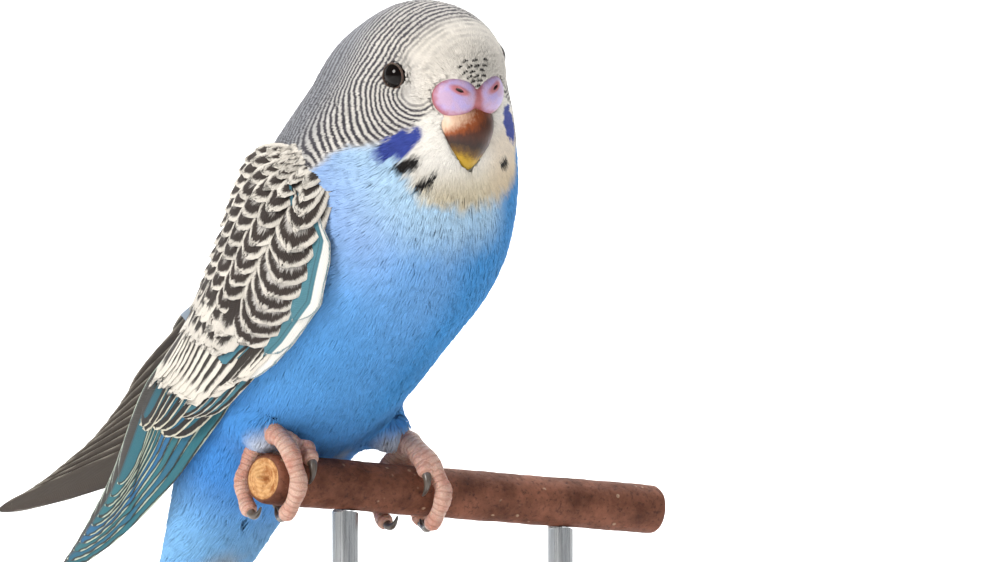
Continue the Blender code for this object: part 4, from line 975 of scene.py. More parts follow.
def vanes(name, place, feathers, look, random, rows, columns, thick, camber, fray, roll=0.0,
          replaces=()):
    """Feathers as thin closed leaves with a rib, their edges and tips measured for the finish.

    Each feather is root, tip (along, across), width, heights at root and tip, and where it
    starts to narrow. Rolled feathers overlap like shingles, their leading edges uppermost.
    """
    n = len(feathers)
    root, tip = (np.array([f[k] for f in feathers], float) for k in (0, 1))
    width, low, high, blunt = (np.array([f[k] for f in feathers], float) for k in (2, 3, 4, 5))
    run = tip - root
    length = np.linalg.norm(run, axis=1)
    ahead = unit(run)
    sideways = np.stack([-ahead[:, 1], ahead[:, 0]], -1)
    tau = np.linspace(0, 1, rows)
    t = 1 - (1 - tau) ** 1.6
    s = np.linspace(-1, 1, columns)

    def half_at(t):
        past = np.maximum(t - blunt[:, None], 0) / (1 - blunt[:, None])
        shape = np.minimum(0.5 + 1.6 * t, 1.0) * np.sqrt(np.maximum(1 - past ** VANE_ROUND, 0))
        return np.maximum(shape * width[:, None] / 2, 0.06)

    half = half_at(t[None, :])
    x = half[:, :, None] * s
    ragged = random.normal(0, fray, (n, 1, columns)) * (t ** 5)[None, :, None]
    y = (length[:, None] * t)[:, :, None] + ragged
    x = x + random.normal(0, 0.4 * fray, (n, rows, 1)) * s ** 5 * (t ** 2)[None, :, None]
    along, across = (root[:, i, None, None] + y * ahead[:, i, None, None]
                     + x * sideways[:, i, None, None] for i in (0, 1))
    lift = (low[:, None] + (high - low)[:, None] * t)[:, :, None]
    bend = camber * s ** 2 * np.minimum(width / 6, 1.2)[:, None, None]
    bend = bend + roll * s * t[None, :, None]
    rib = 0.10 * np.exp(-(s / 0.12) ** 2) * (1 - t)[None, :, None]
    fat = thick / 2 * (1 - 0.6 * t ** 3)[None, :, None] * (1 - 0.5 * s ** 2)
    top = place(along, across, lift - bend + fat + rib)
    bottom = place(along, across, lift - bend - fat)
    edge_t = np.linspace(0, 1, RIM_STEPS)[None, :]
    rim_x, rim_y = half_at(edge_t), length[:, None] * edge_t
    flat_x, flat_y = np.abs(x).reshape(n, -1, 1), (y - ragged).reshape(n, -1, 1)
    rim = np.sqrt(np.min((flat_x - rim_x[:, None]) ** 2 + (flat_y - rim_y[:, None]) ** 2, -1))
    rim = rim.reshape(x.shape)
    from_tip = length[:, None, None] - (y - ragged)
    shape = np.stack([x, from_tip, rim], -1)
    seeds = np.broadcast_to(random.random(n)[:, None, None], x.shape)
    halves = np.broadcast_to(width[:, None, None] / 2, x.shape)
    points = np.concatenate([top.reshape(n, -1, 3), bottom.reshape(n, -1, 3)], 1)
    shape = np.concatenate([shape.reshape(n, -1, 3)] * 2, 1)
    size = rows * columns
    under = np.concatenate([np.zeros((n, size)), np.ones((n, size))], 1)
    feather = np.stack([np.concatenate([seeds.reshape(n, -1)] * 2, 1), under,
                        np.concatenate([halves.reshape(n, -1)] * 2, 1)], -1)
    faces = leaf_faces(rows, columns) + (2 * size * np.arange(n))[:, None, None]
    across_cells = int(math.ceil(math.sqrt(n * 3)))
    down_cells = int(math.ceil(n / across_cells))
    k = np.arange(n)
    cell = np.stack([k % across_cells / across_cells, k // across_cells / down_cells], -1)
    u = 0.02 + 0.46 * np.broadcast_to((s + 1) / 2, (rows, columns)).ravel()
    v = 0.02 + 0.96 * np.broadcast_to(tau[:, None], (rows, columns)).ravel()
    spread = np.stack([np.r_[u, u + 0.5], np.r_[v, v]], -1)
    uv = cell[:, None] + spread[None] / np.array([across_cells, down_cells])
    piece(name, points.reshape(-1, 3), faces.reshape(-1, 4), look, replaces,
          {"shape": shape.reshape(-1, 3), "feather": feather.reshape(-1, 3)}, uv.reshape(-1, 2))


def vane_inputs(tree):
    """What every vane carries: across, from the tip and from the rim; seed, side, half width."""
    outputs = []
    for name in ("shape", "feather"):
        value = add(tree, "Attribute", attribute_name=name, out=1)
        outputs += list(add(tree, "SeparateXYZ", value).node.outputs)
    return outputs


def barb_lines(tree, across, from_tip, pitch):
    """Fine lines that leave the shaft at a slant, as barbs do: from -1 to 1."""
    slant = add(tree, "Math", across, operation="ABSOLUTE")
    run = add(tree, "Math", from_tip, slant, operation="ADD")
    run = add(tree, "Math", run, 2 * math.pi / pitch, operation="MULTIPLY")
    return add(tree, "Math", run, operation="SINE")


def vane_material(name, roughness, ground, dark, edge, under, edge_at, band, taper=0.0,
                  tip_share=1.0, wobble=0.05, hair=0.0, in_widths=True, outer=None,
                  web_at=(0.02, 0.14), shaft="3a2f28"):
    """A stiff vane of keratin barbs, matt above and a little silky along its barbs.

    From its rim inwards it has a pale edge, a dark band and its ground colour, measured in its
    own half widths or in millimetres. A band that tapers to the sides leaves a crescent. The
    outer web's colours run from one feather to the next. Loose barbs fan out as fine hairs,
    about 0.2 mm wide, that carry each colour a little way into the next. Real barbs lie 0.2 mm
    apart, too fine to show, and are drawn at 0.42 mm. The edges wander over 1.4 mm.
    """
    made, tree, shader = new_material(name, roughness, Specular_IOR_Level=0.3, Sheen_Weight=0.06)
    across, from_tip, rim, seed, side, half = vane_inputs(tree)
    lines = barb_lines(tree, across, from_tip, BARB_PITCH)
    share = add(tree, "Math", across, half, operation="DIVIDE")
    fan = add(tree, "Math", half, 2.2, operation="MULTIPLY")
    reach = add(tree, "Math", fan, from_tip, operation="SUBTRACT")
    least = add(tree, "Math", half, 0.6, operation="MULTIPLY")
    reach = add(tree, "Math", reach, least, operation="MAXIMUM")
    splayed = add(tree, "Math", across, fan, operation="MULTIPLY")
    splayed = add(tree, "Math", splayed, reach, operation="DIVIDE")
    along = add(tree, "Math", from_tip, 0.10, operation="MULTIPLY")
    own = add(tree, "Math", seed, 40.0, operation="MULTIPLY")
    hairs = add(tree, "CombineXYZ", splayed, along, own)
    hairs = add(tree, "TexNoise", {"Vector": hairs, "Scale": 2.6, "Detail": 2.0, "Roughness": 0.7})
    hairs = add(tree, "MapRange", {0: hairs, 1: 0.3, 2: 0.7, 3: -1.0, 4: 1.0})
    if in_widths:
        from_tip = add(tree, "Math", from_tip, half, operation="DIVIDE")
        rim = add(tree, "Math", rim, half, operation="DIVIDE")
    place = add(tree, "TexCoord", out=3)
    drift = add(tree, "TexNoise",
                {"Vector": place, "Scale": 700.0, "Detail": 3.0, "Roughness": 0.6})
    drift = add(tree, "MapRange", {0: drift, 1: 0.3, 2: 0.7, 3: -wobble, 4: wobble})
    at_tip = add(tree, "Math", from_tip, tip_share, operation="MULTIPLY")
    near = add(tree, "Math", rim, at_tip, operation="MINIMUM")
    near = add(tree, "Math", near, drift, operation="ADD")
    near = add(tree, "Math", lines, 0.35 * wobble, near, operation="MULTIPLY_ADD")
    near = add(tree, "Math", hairs, hair, near, operation="MULTIPLY_ADD")
    inside = add(tree, "MapRange", {0: near, 1: edge_at[0], 2: edge_at[1]},
                 interpolation_type="SMOOTHSTEP")
    squared = add(tree, "Math", share, share, operation="MULTIPLY")
    past = add(tree, "Math", squared, taper * band, near, operation="MULTIPLY_ADD")
    past = add(tree, "Math", hairs, hair, past, operation="MULTIPLY_ADD")
    soft = 0.5 * (edge_at[1] - edge_at[0]) + 0.5 * hair
    deep = add(tree, "MapRange", {0: past, 1: band - soft, 2: band + soft},
               interpolation_type="SMOOTHSTEP")
    base = rgba(ground)
    if outer:
        spread = add(tree, "ValToRGB", seed)
        stops = spread.node.color_ramp.elements
        stops[0].color, stops[1].color = rgba(outer[0]), rgba(outer[2])
        stops.new(0.5).color = rgba(outer[1])
        web = add(tree, "MapRange", {0: share, 1: web_at[0], 2: web_at[1], 3: 1.0, 4: 0.0})
        base = add(tree, "Mix", {0: web, 6: rgba(ground), 7: spread}, out=2, data_type="RGBA")
    banded = add(tree, "Mix", {0: deep, 6: rgba(dark), 7: base}, out=2, data_type="RGBA")
    edged = add(tree, "Mix", {0: inside, 6: rgba(edge), 7: banded}, out=2, data_type="RGBA")
    quill = add(tree, "Math", across, operation="ABSOLUTE")
    quill = add(tree, "MapRange", {0: quill, 1: 0.05, 2: 0.13, 3: 0.5, 4: 0.0})
    quill = add(tree, "Math", quill, inside, operation="MULTIPLY")
    edged = add(tree, "Mix", {0: quill, 6: edged, 7: rgba(shaft)}, out=2, data_type="RGBA")
    below = add(tree, "MapRange", {0: near, 1: 0.5 * edge_at[0], 2: 1.2 * edge_at[1]})
    below = add(tree, "Mix", {0: below, 6: rgba(under[1]), 7: rgba(under[0])}, out=2,
                data_type="RGBA")
    sided = add(tree, "Mix", {0: side, 6: edged, 7: below}, out=2, data_type="RGBA")
    shade = add(tree, "MapRange", {0: seed, 1: 0.0, 2: 1.0, 3: 0.88, 4: 1.06})
    shade = add(tree, "Math", lines, 0.04, shade, operation="MULTIPLY_ADD")
    shade = add(tree, "Math", hairs, 0.05 + 0.4 * hair, shade, operation="MULTIPLY_ADD")
    level = add(tree, "CombineXYZ", shade, shade, shade)
    colour = add(tree, "Mix", {0: 1.0, 6: sided, 7: level}, out=2, data_type="RGBA",
                 blend_type="MULTIPLY")
    return dress(made, tree, shader, colour, lines, 0.00003, 0.6)


def wing_rows(wing, tiers, random):
    """Feathers of one kind across a wing, tier after tier, from the leading edge to the back."""
    feathers = []
    for tier in tiers:
        for k in range(tier["count"]):
            f = (k + 0.5) / tier["count"]
            width, start, end, spot = (
                tier[key][0] + (tier[key][1] - tier[key][0]) * f
                for key in ("width", "roots", "tips", "span"))
            end = end * wing["stretch"] + random.uniform(-1, 1) * tier.get("jitter", 0.5)
            ends = []
            for along, share in ((start, 0.4), (end, 0.5)):
                lead, trail = (float(v) for v in wing_edges(wing, along))
                inset = min(width * share, (trail - lead) / 2)
                ends.append((along, lead + inset + (trail - lead - 2 * inset) * spot))
            lift = tier["stack"] * f
            low, high = tier["heights"]
            feathers.append((*ends, width, low + lift, high + lift, tier["blunt"]))
    return feathers


FLIGHT_TIERS = (
    {"count": 10, "roots": (30, 44), "tips": (107, 72), "span": (0.0, 1.0), "width": (5.6, 6.6),
     "heights": (-0.9, -0.5), "stack": 1.9, "blunt": 0.6},
)
SECONDARY_TIERS = (
    {"count": 7, "roots": (20, 18), "tips": (51, 60), "span": (0.04, 1.0), "width": (6.0, 6.4),
     "heights": (-0.7, 0.75), "stack": 0.8, "blunt": 0.8, "jitter": 1.1},
)
EDGE_TIERS = (
    {"count": 4, "roots": (14, 16), "tips": (43, 49), "span": (0.0, 0.25), "width": (4.6, 4.8),
     "heights": (-0.8, 0.4), "stack": 0.4, "blunt": 0.75},
)
# Feathers along the leading edge: root and tip, each how far from the wrist and from the edge,
# then width, heights at root and tip
ALULA = (
    ((6.0, 2.1), (31.5, 1.7), 4.2, -0.7, 0.40), ((1.5, 2.0), (23.5, 1.7), 4.2, -0.45, 0.75),
    ((-3.0, 1.9), (14.5, 1.7), 4.2, -0.4, 1.05),
)
EDGE_COVERTS = (
    ((-3.0, 3.4), (36.0, 2.6), 4.2, -0.9, 0.05), ((-3.5, 5.2), (39.0, 4.4), 4.4, -0.6, 0.4),
    ((-3.5, 7.4), (41.0, 6.6), 4.6, -0.4, 0.7),
)
GREAT_TIERS = (
    {"count": 4, "roots": (14, 19), "tips": (31, 40), "span": (0.02, 0.12), "width": (3.2, 3.4),
     "heights": (-0.5, 0.35), "stack": 0.3, "blunt": 0.75, "jitter": 0.8},
    {"count": 11, "roots": (22, 24), "tips": (43, 51.5), "span": (0.16, 1.0), "width": (4.4, 4.2),
     "heights": (-0.4, 1.4), "stack": 0.3, "blunt": 0.75, "jitter": 0.9},
)
MIDDLE_TIERS = (
    {"count": 8, "roots": (16, 20), "tips": (30.5, 41), "span": (0.2, 1.0), "width": (5.8, 4.4),
     "heights": (-0.4, 1.5), "stack": 0.1, "blunt": 0.6, "jitter": 0.9},
    {"count": 7, "roots": (12, 16), "tips": (26.0, 36), "span": (0.24, 1.0), "width": (6.4, 4.4),
     "heights": (-0.4, 1.5), "stack": 0.1, "blunt": 0.55, "jitter": 0.9},
)

# Lesser coverts: how far back each column lies, its feathers' width and pitch, and its last tip
LESSER_COLUMNS = (
    (0.21, 9.2, 3.1, 24.0), (0.42, 6.0, 3.3, 27.0), (0.56, 5.2, 3.3, 29.5), (0.69, 4.8, 3.4, 32.0),
    (0.82, 4.4, 3.5, 34.0), (0.94, 4.2, 3.6, 36.0),
)
FIRST_TIP = -6.5
FIRST_ROOT = -9.0


def lesser_coverts(wing, random):
    """Columns of small scallops that run down the wing from the shoulder, largest in front."""
    feathers = []
    for number, (share, width, pitch, last) in enumerate(LESSER_COLUMNS):
        tip = last + random.uniform(-0.6, 0.6)
        while tip > FIRST_TIP:
            grown = ramp(tip, -6.5, 5.0)
            size = width * (0.34 + 0.66 * grown) * random.uniform(0.93, 1.07)
            ends = []
            base = max(tip - 0.95 * size - 2.6 * grown, FIRST_ROOT)
            for along in (base, tip):
                lead, trail = (float(v) for v in wing_edges(wing, along))
                spot = lead + (trail - lead) * share + random.uniform(-0.35, 0.35)
                ends.append((along, spot))
            low = -0.6 - 2.8 * (1 - ramp(base, -10.0, 3.0))
            high = 1.60 - 0.05 * number - 2.4 * (1 - ramp(tip, -8.5, 2.0))
            feathers.append((*ends, size, low, high, 0.5))
            tip -= pitch * (0.42 + 0.58 * grown) * random.uniform(0.85, 1.15)
    return feathers


def build_wings(looks):
    for name, wing in WINGS.items():
        random = np.random.default_rng(SEED + wing["side"])

        def place(along, across, height, wing=wing):
            return wing_place(wing, along, across, height)

        def edge_place(along, across, height, wing=wing):
            return wing_place(wing, along, wing_edges(wing, along)[0] + across, height)

        groups = (
            ("primaries", FLIGHT_TIERS, looks["flight"], 22, 9, 0.12, 0.12, 0.25),
            ("secondaries", SECONDARY_TIERS, looks["secondary"], 18, 9, 0.15, 0.12, 0.32),
            ("primary_coverts", EDGE_TIERS, looks["edge"], 18, 9, 0.15, 0.1, 0.25),
            ("edge_coverts", EDGE_COVERTS, looks["edge"], 22, 9, 0.2, 0.1, 0.15),
            ("alula", ALULA, looks["alula"], 20, 9, 0.6, 0.2, 0.0),
            ("greater_coverts", GREAT_TIERS, looks["great"], 16, 19, 0.12, 0.6, 0.45),
            ("median_coverts", MIDDLE_TIERS, looks["median"], 15, 19, 0.25, 0.5, 0.2),
            ("lesser_coverts", None, looks["lesser"], 15, 19, 0.45, 0.28, 0.0),
        )
        for word, tiers, look, rows, columns, camber, fray, roll in groups:
            gone = (f"wing_{name}",) if word == "primaries" else ()
            by_edge = tiers in (ALULA, EDGE_COVERTS)
            if tiers is None:
                feathers = lesser_coverts(wing, random)
            elif by_edge:
                feathers = [(*feather, 0.7) for feather in tiers]
            else:
                feathers = wing_rows(wing, tiers, random)
            vanes(f"{word}_{name}", edge_place if by_edge else place, feathers, look, random,
                  rows, columns, 0.2, camber, fray, roll, gone)
        build_wing_core(name, wing, looks["under"])


def build_wing_core(name, wing, look):
    """The flesh of the wing under its coverts: a thin closed blade."""
    rows, columns = 26, 12
    along = np.linspace(1.0, 56.0, rows)
    lead, trail = wing_edges(wing, along)
    t = np.linspace(0, 1, columns)
    across = (lead + 4.2)[:, None] * (1 - t) + (trail - 1.6)[:, None] * t
    spots = np.broadcast_to(along[:, None], across.shape)
    round_edge = np.sqrt(np.maximum(1 - (2 * t - 1) ** 2, 0.02))
    deep = np.interp(along, (0, 50), (1.3, 0.5))[:, None] * round_edge
    points = np.concatenate([wing_place(wing, spots, across, -0.35 + share * deep).reshape(-1, 3)
                             for share in (0.2, -0.8)])
    down = np.broadcast_to(np.linspace(0, 1, rows)[:, None], across.shape)
    uv = np.stack([np.broadcast_to(t, across.shape) * 0.46 + 0.02, down * 0.96 + 0.02], -1)
    uv = uv.reshape(-1, 2)
    piece(f"wing_core_{name}", points, leaf_faces(rows, columns), look, (), None,
          np.concatenate([uv, uv + np.array([0.5, 0])]))


def build_tail(look):
    """Twelve tail feathers, the middle pair longest and uppermost."""
    random = np.random.default_rng(SEED + 20)
    feathers = []
    for pair, length in enumerate(TAIL_LENGTHS):
        for side in (-1, 1):
            fan = 0.45 * pair * length / TAIL_LENGTHS[-1]
            level = -0.45 * pair - 0.2 * (side > 0)
            root = (3.0 + 1.2 * pair, side * (0.5 + 0.28 * pair))
            tip = (length, side * (1.6 + fan))
            feathers.append((root, tip, TAIL_WIDTH - 0.45 * pair, level, level, 0.5))
    vanes("tail_feathers", tail_place, feathers, look, random, 26, 9, 0.3, 0.3, 0.1,
          replaces=("tail",))


# Mantle: rows of feathers down the back, and how many degrees apart round the trunk they start
MANTLE_ROWS = 17
MANTLE_TOP = 46.0
MANTLE_PITCH = 3.2
MANTLE_STEP = 13.5
MANTLE_REACH = 17.0


def build_mantle(look):
    """Barred feathers on the upper back, in staggered rows down to the rump."""
    random = np.random.default_rng(SEED + 30)
    starts = []
    for row in range(MANTLE_ROWS):
        height = MANTLE_TOP - MANTLE_PITCH * row
        for k in range(-5, 6):
            angle = math.radians(180 + (k + 0.5 * (row % 2)) * MANTLE_STEP)
            starts.append(on_body((MANTLE_REACH * math.sin(angle),
                                   TRUNK_BACK - MANTLE_REACH * math.cos(angle), height)))
    spots = settle(skin_field, np.array(starts), 6)
    outward = unit(slope_of(skin_field, spots))
    way = lie_of(spots, outward)
    _, _, _, mantle = markings(spots)
    keep = mantle > 0.25
    spots, outward, way = spots[keep], outward[keep], way[keep]
    side = np.cross(outward, way)
    lower = ramp(-(spots @ BODY_AXES)[:, 2], -44, 0)
    level, long = 1.1 + 0.9 * lower, 6.5 + 3.5 * lower

    def place(along, across, height):
        start, ahead, aside = (a[:, None, None] for a in (spots, way, side))
        return settle(skin_field, start + along[..., None] * ahead + across[..., None] * aside,
                      3, height)

    feathers = [((0.0, 0.0), (long[k], random.uniform(-0.4, 0.4)),
                 4.2 + 0.14 * long[k] + random.uniform(-0.3, 0.3),
                 0.1, level[k] + random.uniform(0, 0.15), 0.4) for k in range(len(spots))]
    vanes("mantle_feathers", place, feathers, look, random, 12, 9, 0.16, 0.3, 0.3)


# Bill: how many rings and sides its horn has, and how far a closing point stands past its end
BILL_ROWS = 40
BILL_SIDES = 40
HORN_CAP = 0.3


def horn(table, rows, sides):
    """A curved horn in the head's frame: each row is back, up, half width and half depth."""
    table = np.array(table, float)
    t = np.linspace(0, 1, rows)
    back, up, wide, deep = (smooth_through(table[:, k], t) for k in range(4))
    lie = unit(np.stack([np.gradient(back), np.gradient(up)], 1))
    a = np.linspace(0, 2 * math.pi, sides, endpoint=False)
    points = np.zeros((rows, sides, 3))
    ridge = 1 + 0.04 * np.exp(-((a - math.pi) / 0.5) ** 2)
    points[:, :, 0] = wide[:, None] * np.sin(a) * (1 - 0.06 * np.cos(a) ** 2)
    points[:, :, 1] = back[:, None] - lie[:, 1:] * deep[:, None] * np.cos(a) * ridge
    points[:, :, 2] = up[:, None] + lie[:, :1] * deep[:, None] * np.cos(a) * ridge
    ends = [np.array([0, back[i] + s * lie[i, 0] * HORN_CAP, up[i] + s * lie[i, 1] * HORN_CAP])
            for i, s in ((0, -1), (rows - 1, 1))]
    where = np.concatenate([np.repeat(t, sides), [0, 1]])
    return np.concatenate([points.reshape(-1, 3), ends]), tube_faces(rows, sides), where


def smooth_through(values, t):
    """A smooth curve through evenly spaced values."""
    knots = np.linspace(0, 1, len(values))
    rise = np.gradient(values, knots)
    i = np.clip(np.searchsorted(knots, t, side="right") - 1, 0, len(values) - 2)
    gap = knots[1] - knots[0]
    s = (t - knots[i]) / gap
    h00, h10 = 2 * s ** 3 - 3 * s ** 2 + 1, s ** 3 - 2 * s ** 2 + s
    h01, h11 = -2 * s ** 3 + 3 * s ** 2, s ** 3 - s ** 2
    return h00 * values[i] + h10 * gap * rise[i] + h01 * values[i + 1] + h11 * gap * rise[i + 1]


def build_bill(look):
    for table, name in ((UPPER_BILL, "bill_upper"), (LOWER_BILL, "bill_lower")):
        points, faces, where = horn(table, BILL_ROWS, BILL_SIDES)
        # The bands shift with the side: near the root the painted highlight of pale cream reaches
        # lower on the bird's right, where the key lamp falls, and past the middle the shift turns
        # the other way
        where = where + points[:, 0] * (0.032 - 0.056 * ramp(where, 0.3, 0.55))
        piece(f"{name}_horn", on_face(points + np.array(BILL_SHIFT)), faces, look, (name,),
              {"down": where if name == "bill_upper" else np.full(len(points), 0.35)})


def build_cere(look):
    """Two soft lobes that meet in a groove, each with a slit nostril in a thin raised rim."""
    def slit(q, side):
        at = q - mirrored(NOSTRIL_PLACE, side)
        at = at @ turn("z", side * CERE_SPLAY) @ turn("y", side * NOSTRIL_TILT)
        return at, np.sqrt((at[..., 0] / 2.7) ** 2 + at[..., 2] ** 2)

    def cere_field(q):
        both = blend(*(ball(q, mirrored(CERE_PLACE, side), CERE_SIZE, turn("z", side * CERE_SPLAY))
                       for side in (-1, 1)), 0.9)
        for side in (-1, 1):
            at, flat = slit(q, side)
            ring = np.sqrt((flat - 0.36) ** 2 + (at[..., 1] * 0.5) ** 2)
            both = blend(both, ring - 0.10, 0.35)
            drill = np.maximum(np.maximum(flat - 0.22, -at[..., 1] - 2.0), at[..., 1] - 0.9)
            both = np.maximum(both, -drill)
        return both

    points, faces = surface(cere_field, (-8.5, -17.5, -9.5), (8.5, -8.5, 1.5), 0.15)
    rim = np.minimum(*(in_ball(points, mirrored((3.1, -14.2, -3.3), side), (3.9, 3.0, 3.1))
                       for side in (-1, 1)))
    groove = np.exp(-(points[:, 0] / 0.9) ** 2)
    hole = np.minimum(slit(points, -1)[1], slit(points, 1)[1])
    piece("cere_lobes", on_face(points), faces, look, ("cere",),
          {"rim": rim + 0.35 * groove, "hole": hole})


def build_eyes(eye_look, lid_look):
    for side, name in ((-1, "right"), (1, "left")):
        axis = HEAD_AXES @ unit(mirrored(EYE_FACING, side))
        across = unit(np.cross(axis, [0, 0, 1.0]))
        above = np.cross(axis, across)
        centre = on_head(mirrored(EYE_PLACE, side))
        rows, sides = 24, 40
        polar = np.linspace(0, math.pi, rows + 2)[1:-1]
        a = np.linspace(0, 2 * math.pi, sides, endpoint=False)
        out = np.sin(polar)[:, None]
        ring = np.stack([out * np.cos(a), out * np.sin(a),
                         np.broadcast_to(np.cos(polar)[:, None], (rows, sides))], -1).reshape(-1, 3)
        ring = np.concatenate([ring, [[0, 0, 1], [0, 0, -1]]]) * np.array(EYE_SIZE)
        axes = np.stack([across, above, axis], 0)
        piece(f"eye_ball_{name}", centre - axis * EYE_SUNK + ring @ axes, tube_faces(rows, sides),
              eye_look, (f"eye_{name}",))

        # The bare ring of the lids, beaded with tiny papillae and drawn out at its corners
        around, tube = 120, 18
        b = np.linspace(0, 2 * math.pi, around, endpoint=False)
        c = np.linspace(0, 2 * math.pi, tube, endpoint=False)
        bead = 1 + 0.13 * np.cos(34 * b)[:, None] * np.exp(-((c - 1.2) / 0.9) ** 2)[None, :]
        corner = 1 + 0.10 * np.exp(-(np.angle(np.exp(1j * (b - 0.2))) / 0.35) ** 2)
        radius = (LID_RADIUS * corner)[:, None] + LID_TUBE * bead * np.cos(c)
        lift = 0.10 + 0.20 * bead * np.sin(c)
        ring = np.stack([radius * np.cos(b)[:, None], radius * np.sin(b)[:, None],
                         np.broadcast_to(lift, radius.shape)], -1).reshape(-1, 3)
        grid = np.arange(around * tube).reshape(around, tube)
        right, up = np.roll(grid, -1, 1), np.roll(grid, -1, 0)
        quads = np.stack([grid, up, np.roll(up, -1, 1), right], -1).reshape(-1, 4)
        piece(f"lids_{name}", centre + ring @ axes - axis * 0.1, quads, lid_look)


BRANCH_LIE = unit(np.array([1.0, 0, 0]) @ BIRD_AXES - np.array([0, 0, BRANCH_DROP]))
BRANCH_UP = unit(np.array([0, 0, 1.0]) - BRANCH_LIE * BRANCH_LIE[2])
BRANCH_FRONT = np.cross(BRANCH_LIE, BRANCH_UP)


def around_branch(along, angle, reach):
    """A point at an angle from the top of the branch toward the bird's front, in degrees."""
    a = np.radians(np.asarray(angle, float))[..., None]
    along = np.asarray(along, float)[..., None]
    reach = np.asarray(reach, float)[..., None]
    middle = np.array([0, 0, BRANCH_RISE]) + along * BRANCH_LIE
    return middle + reach * (np.cos(a) * BRANCH_UP + np.sin(a) * BRANCH_FRONT)


def toe_line(leg, toe, count):
    """The middle line of a toe that comes off the foot's root and wraps the branch."""
    f = np.linspace(0, 1, count)
    radius = TOE_RADIUS * (1 + TOE_PADS - TOE_TAPER * f + TOE_PADS * np.cos(f * 6 * math.pi))
    ease = f * f * (3 - 2 * f)
    along = leg["root"][0] + (toe[0] - leg["root"][0]) * np.minimum(1.6 * ease, 1)
    angle = leg["root"][1] + (toe[1] - leg["root"][1]) * f
    lift = TOE_ARCH * np.maximum(1 - f / TOE_ARCH_END, 0)
    return around_branch(along, angle, BRANCH_RADIUS + GAP + radius + lift), radius


def build_feet(skin_look, claw_look):
    for side, word in ((-1, "right"), (1, "left")):
        leg = LEGS[side]
        root = around_branch(*leg["root"], BRANCH_RADIUS + GAP + TOE_RADIUS + TOE_ARCH)
        top = np.array(leg["top"], float)
        shank = top + np.linspace(0, 1, 12)[:, None] * (root - top)
        lines = [(shank, np.full(len(shank), SHANK_RADIUS))]
        lines += [toe_line(leg, toe, 30) for toe in leg["toes"]]

        def foot_field(p):
            value = None
            for line, radius in lines:
                best = np.full(p.shape[:-1], 99.0)
                for a, b, ra, rb in zip(line[:-1], line[1:], radius[:-1], radius[1:]):
                    d = b - a
                    t = np.clip(((p - a) @ d) / (d @ d), 0, 1)
                    far = np.linalg.norm(p - a - t[..., None] * d, axis=-1) - (ra + (rb - ra) * t)
                    best = np.minimum(best, far)
                value = best if value is None else blend(value, best, 0.7)
            return value

        low = np.min([line.min(0) for line, _ in lines], 0) - 2.2
        high = np.max([line.max(0) for line, _ in lines], 0) + 2.2
        points, faces = surface(foot_field, low, high, 0.36)
        run = np.zeros(len(points))
        best = np.full(len(points), 99.0)
        for line, _ in lines:
            walked = np.r_[0, np.cumsum(np.linalg.norm(np.diff(line, axis=0), axis=1))]
            far = np.linalg.norm(points[:, None] - line[None], axis=2)
            near = far.argmin(1)
            closer = far.min(1) < best
            best = np.minimum(best, far.min(1))
            lie = unit(np.gradient(line, axis=0))[near]
            here = walked[near] + ((points - line[near]) * lie).sum(1)
            run = np.where(closer, here, run)
        outward = unit(slope_of(foot_field, points))
        rings = np.abs(((run / SCUTE) % 1) - 0.5) * 2
        points = points + outward * (0.10 * (1 - rings ** 3) - 0.05)[:, None]
        piece(f"foot_skin_{word}", points, faces, skin_look, (f"foot_{word}",), {"run": run})
        build_claws(leg, word, claw_look)


def build_claws(leg, word, look):
    """A curved claw past the end of each toe, close along the bark."""
    rows, sides = 22, 18
    end_radius = TOE_RADIUS * (1 + 2 * TOE_PADS - TOE_TAPER)
    reach = BRANCH_RADIUS + GAP + end_radius
    f = np.linspace(0, 1, rows)
    radius = CLAW_RADIUS * (1 - f) ** 0.8 + 0.14
    out = reach - (end_radius - 0.14) * f ** 2 + CLAW_ARCH * np.sin(math.pi * f)
    for number, (along, last) in enumerate(leg["toes"], 1):
        way = 1 if last > 0 else -1
        start = last + way * math.degrees((TOE_END * end_radius + GAP) / reach)
        angle = start + way * math.degrees(CLAW_LENGTH / reach) * (f - 0.12)
        line = around_branch(np.full(rows, along), angle, out)
        points, faces = tube_mesh(line, radius, sides)
        piece(f"claw_horn_{word}_{number}", points, faces, look, (f"claw_{word}_{number}",),
              {"run": np.concatenate([np.repeat(f, sides), [0, 1]])})


def tube_mesh(line, radius, sides):
    """A closed tube with round ends."""
    lie = unit(np.gradient(line, axis=0))
    side = unit(np.cross(lie[0], [0.31, 0.27, 0.91]))
    a = np.linspace(0, 2 * math.pi, sides, endpoint=False)
    points = []
    for i in range(len(line)):
        side = unit(side - lie[i] * (side @ lie[i]))
        other = np.cross(lie[i], side)
        ring = np.cos(a)[:, None] * side + np.sin(a)[:, None] * other
        points.append(line[i] + radius[i] * ring)
    ends = [line[0] - lie[0] * radius[0] * 0.4, line[-1] + lie[-1] * radius[-1] * 0.6]
    return np.concatenate([np.concatenate(points), ends]), tube_faces(len(line), sides)


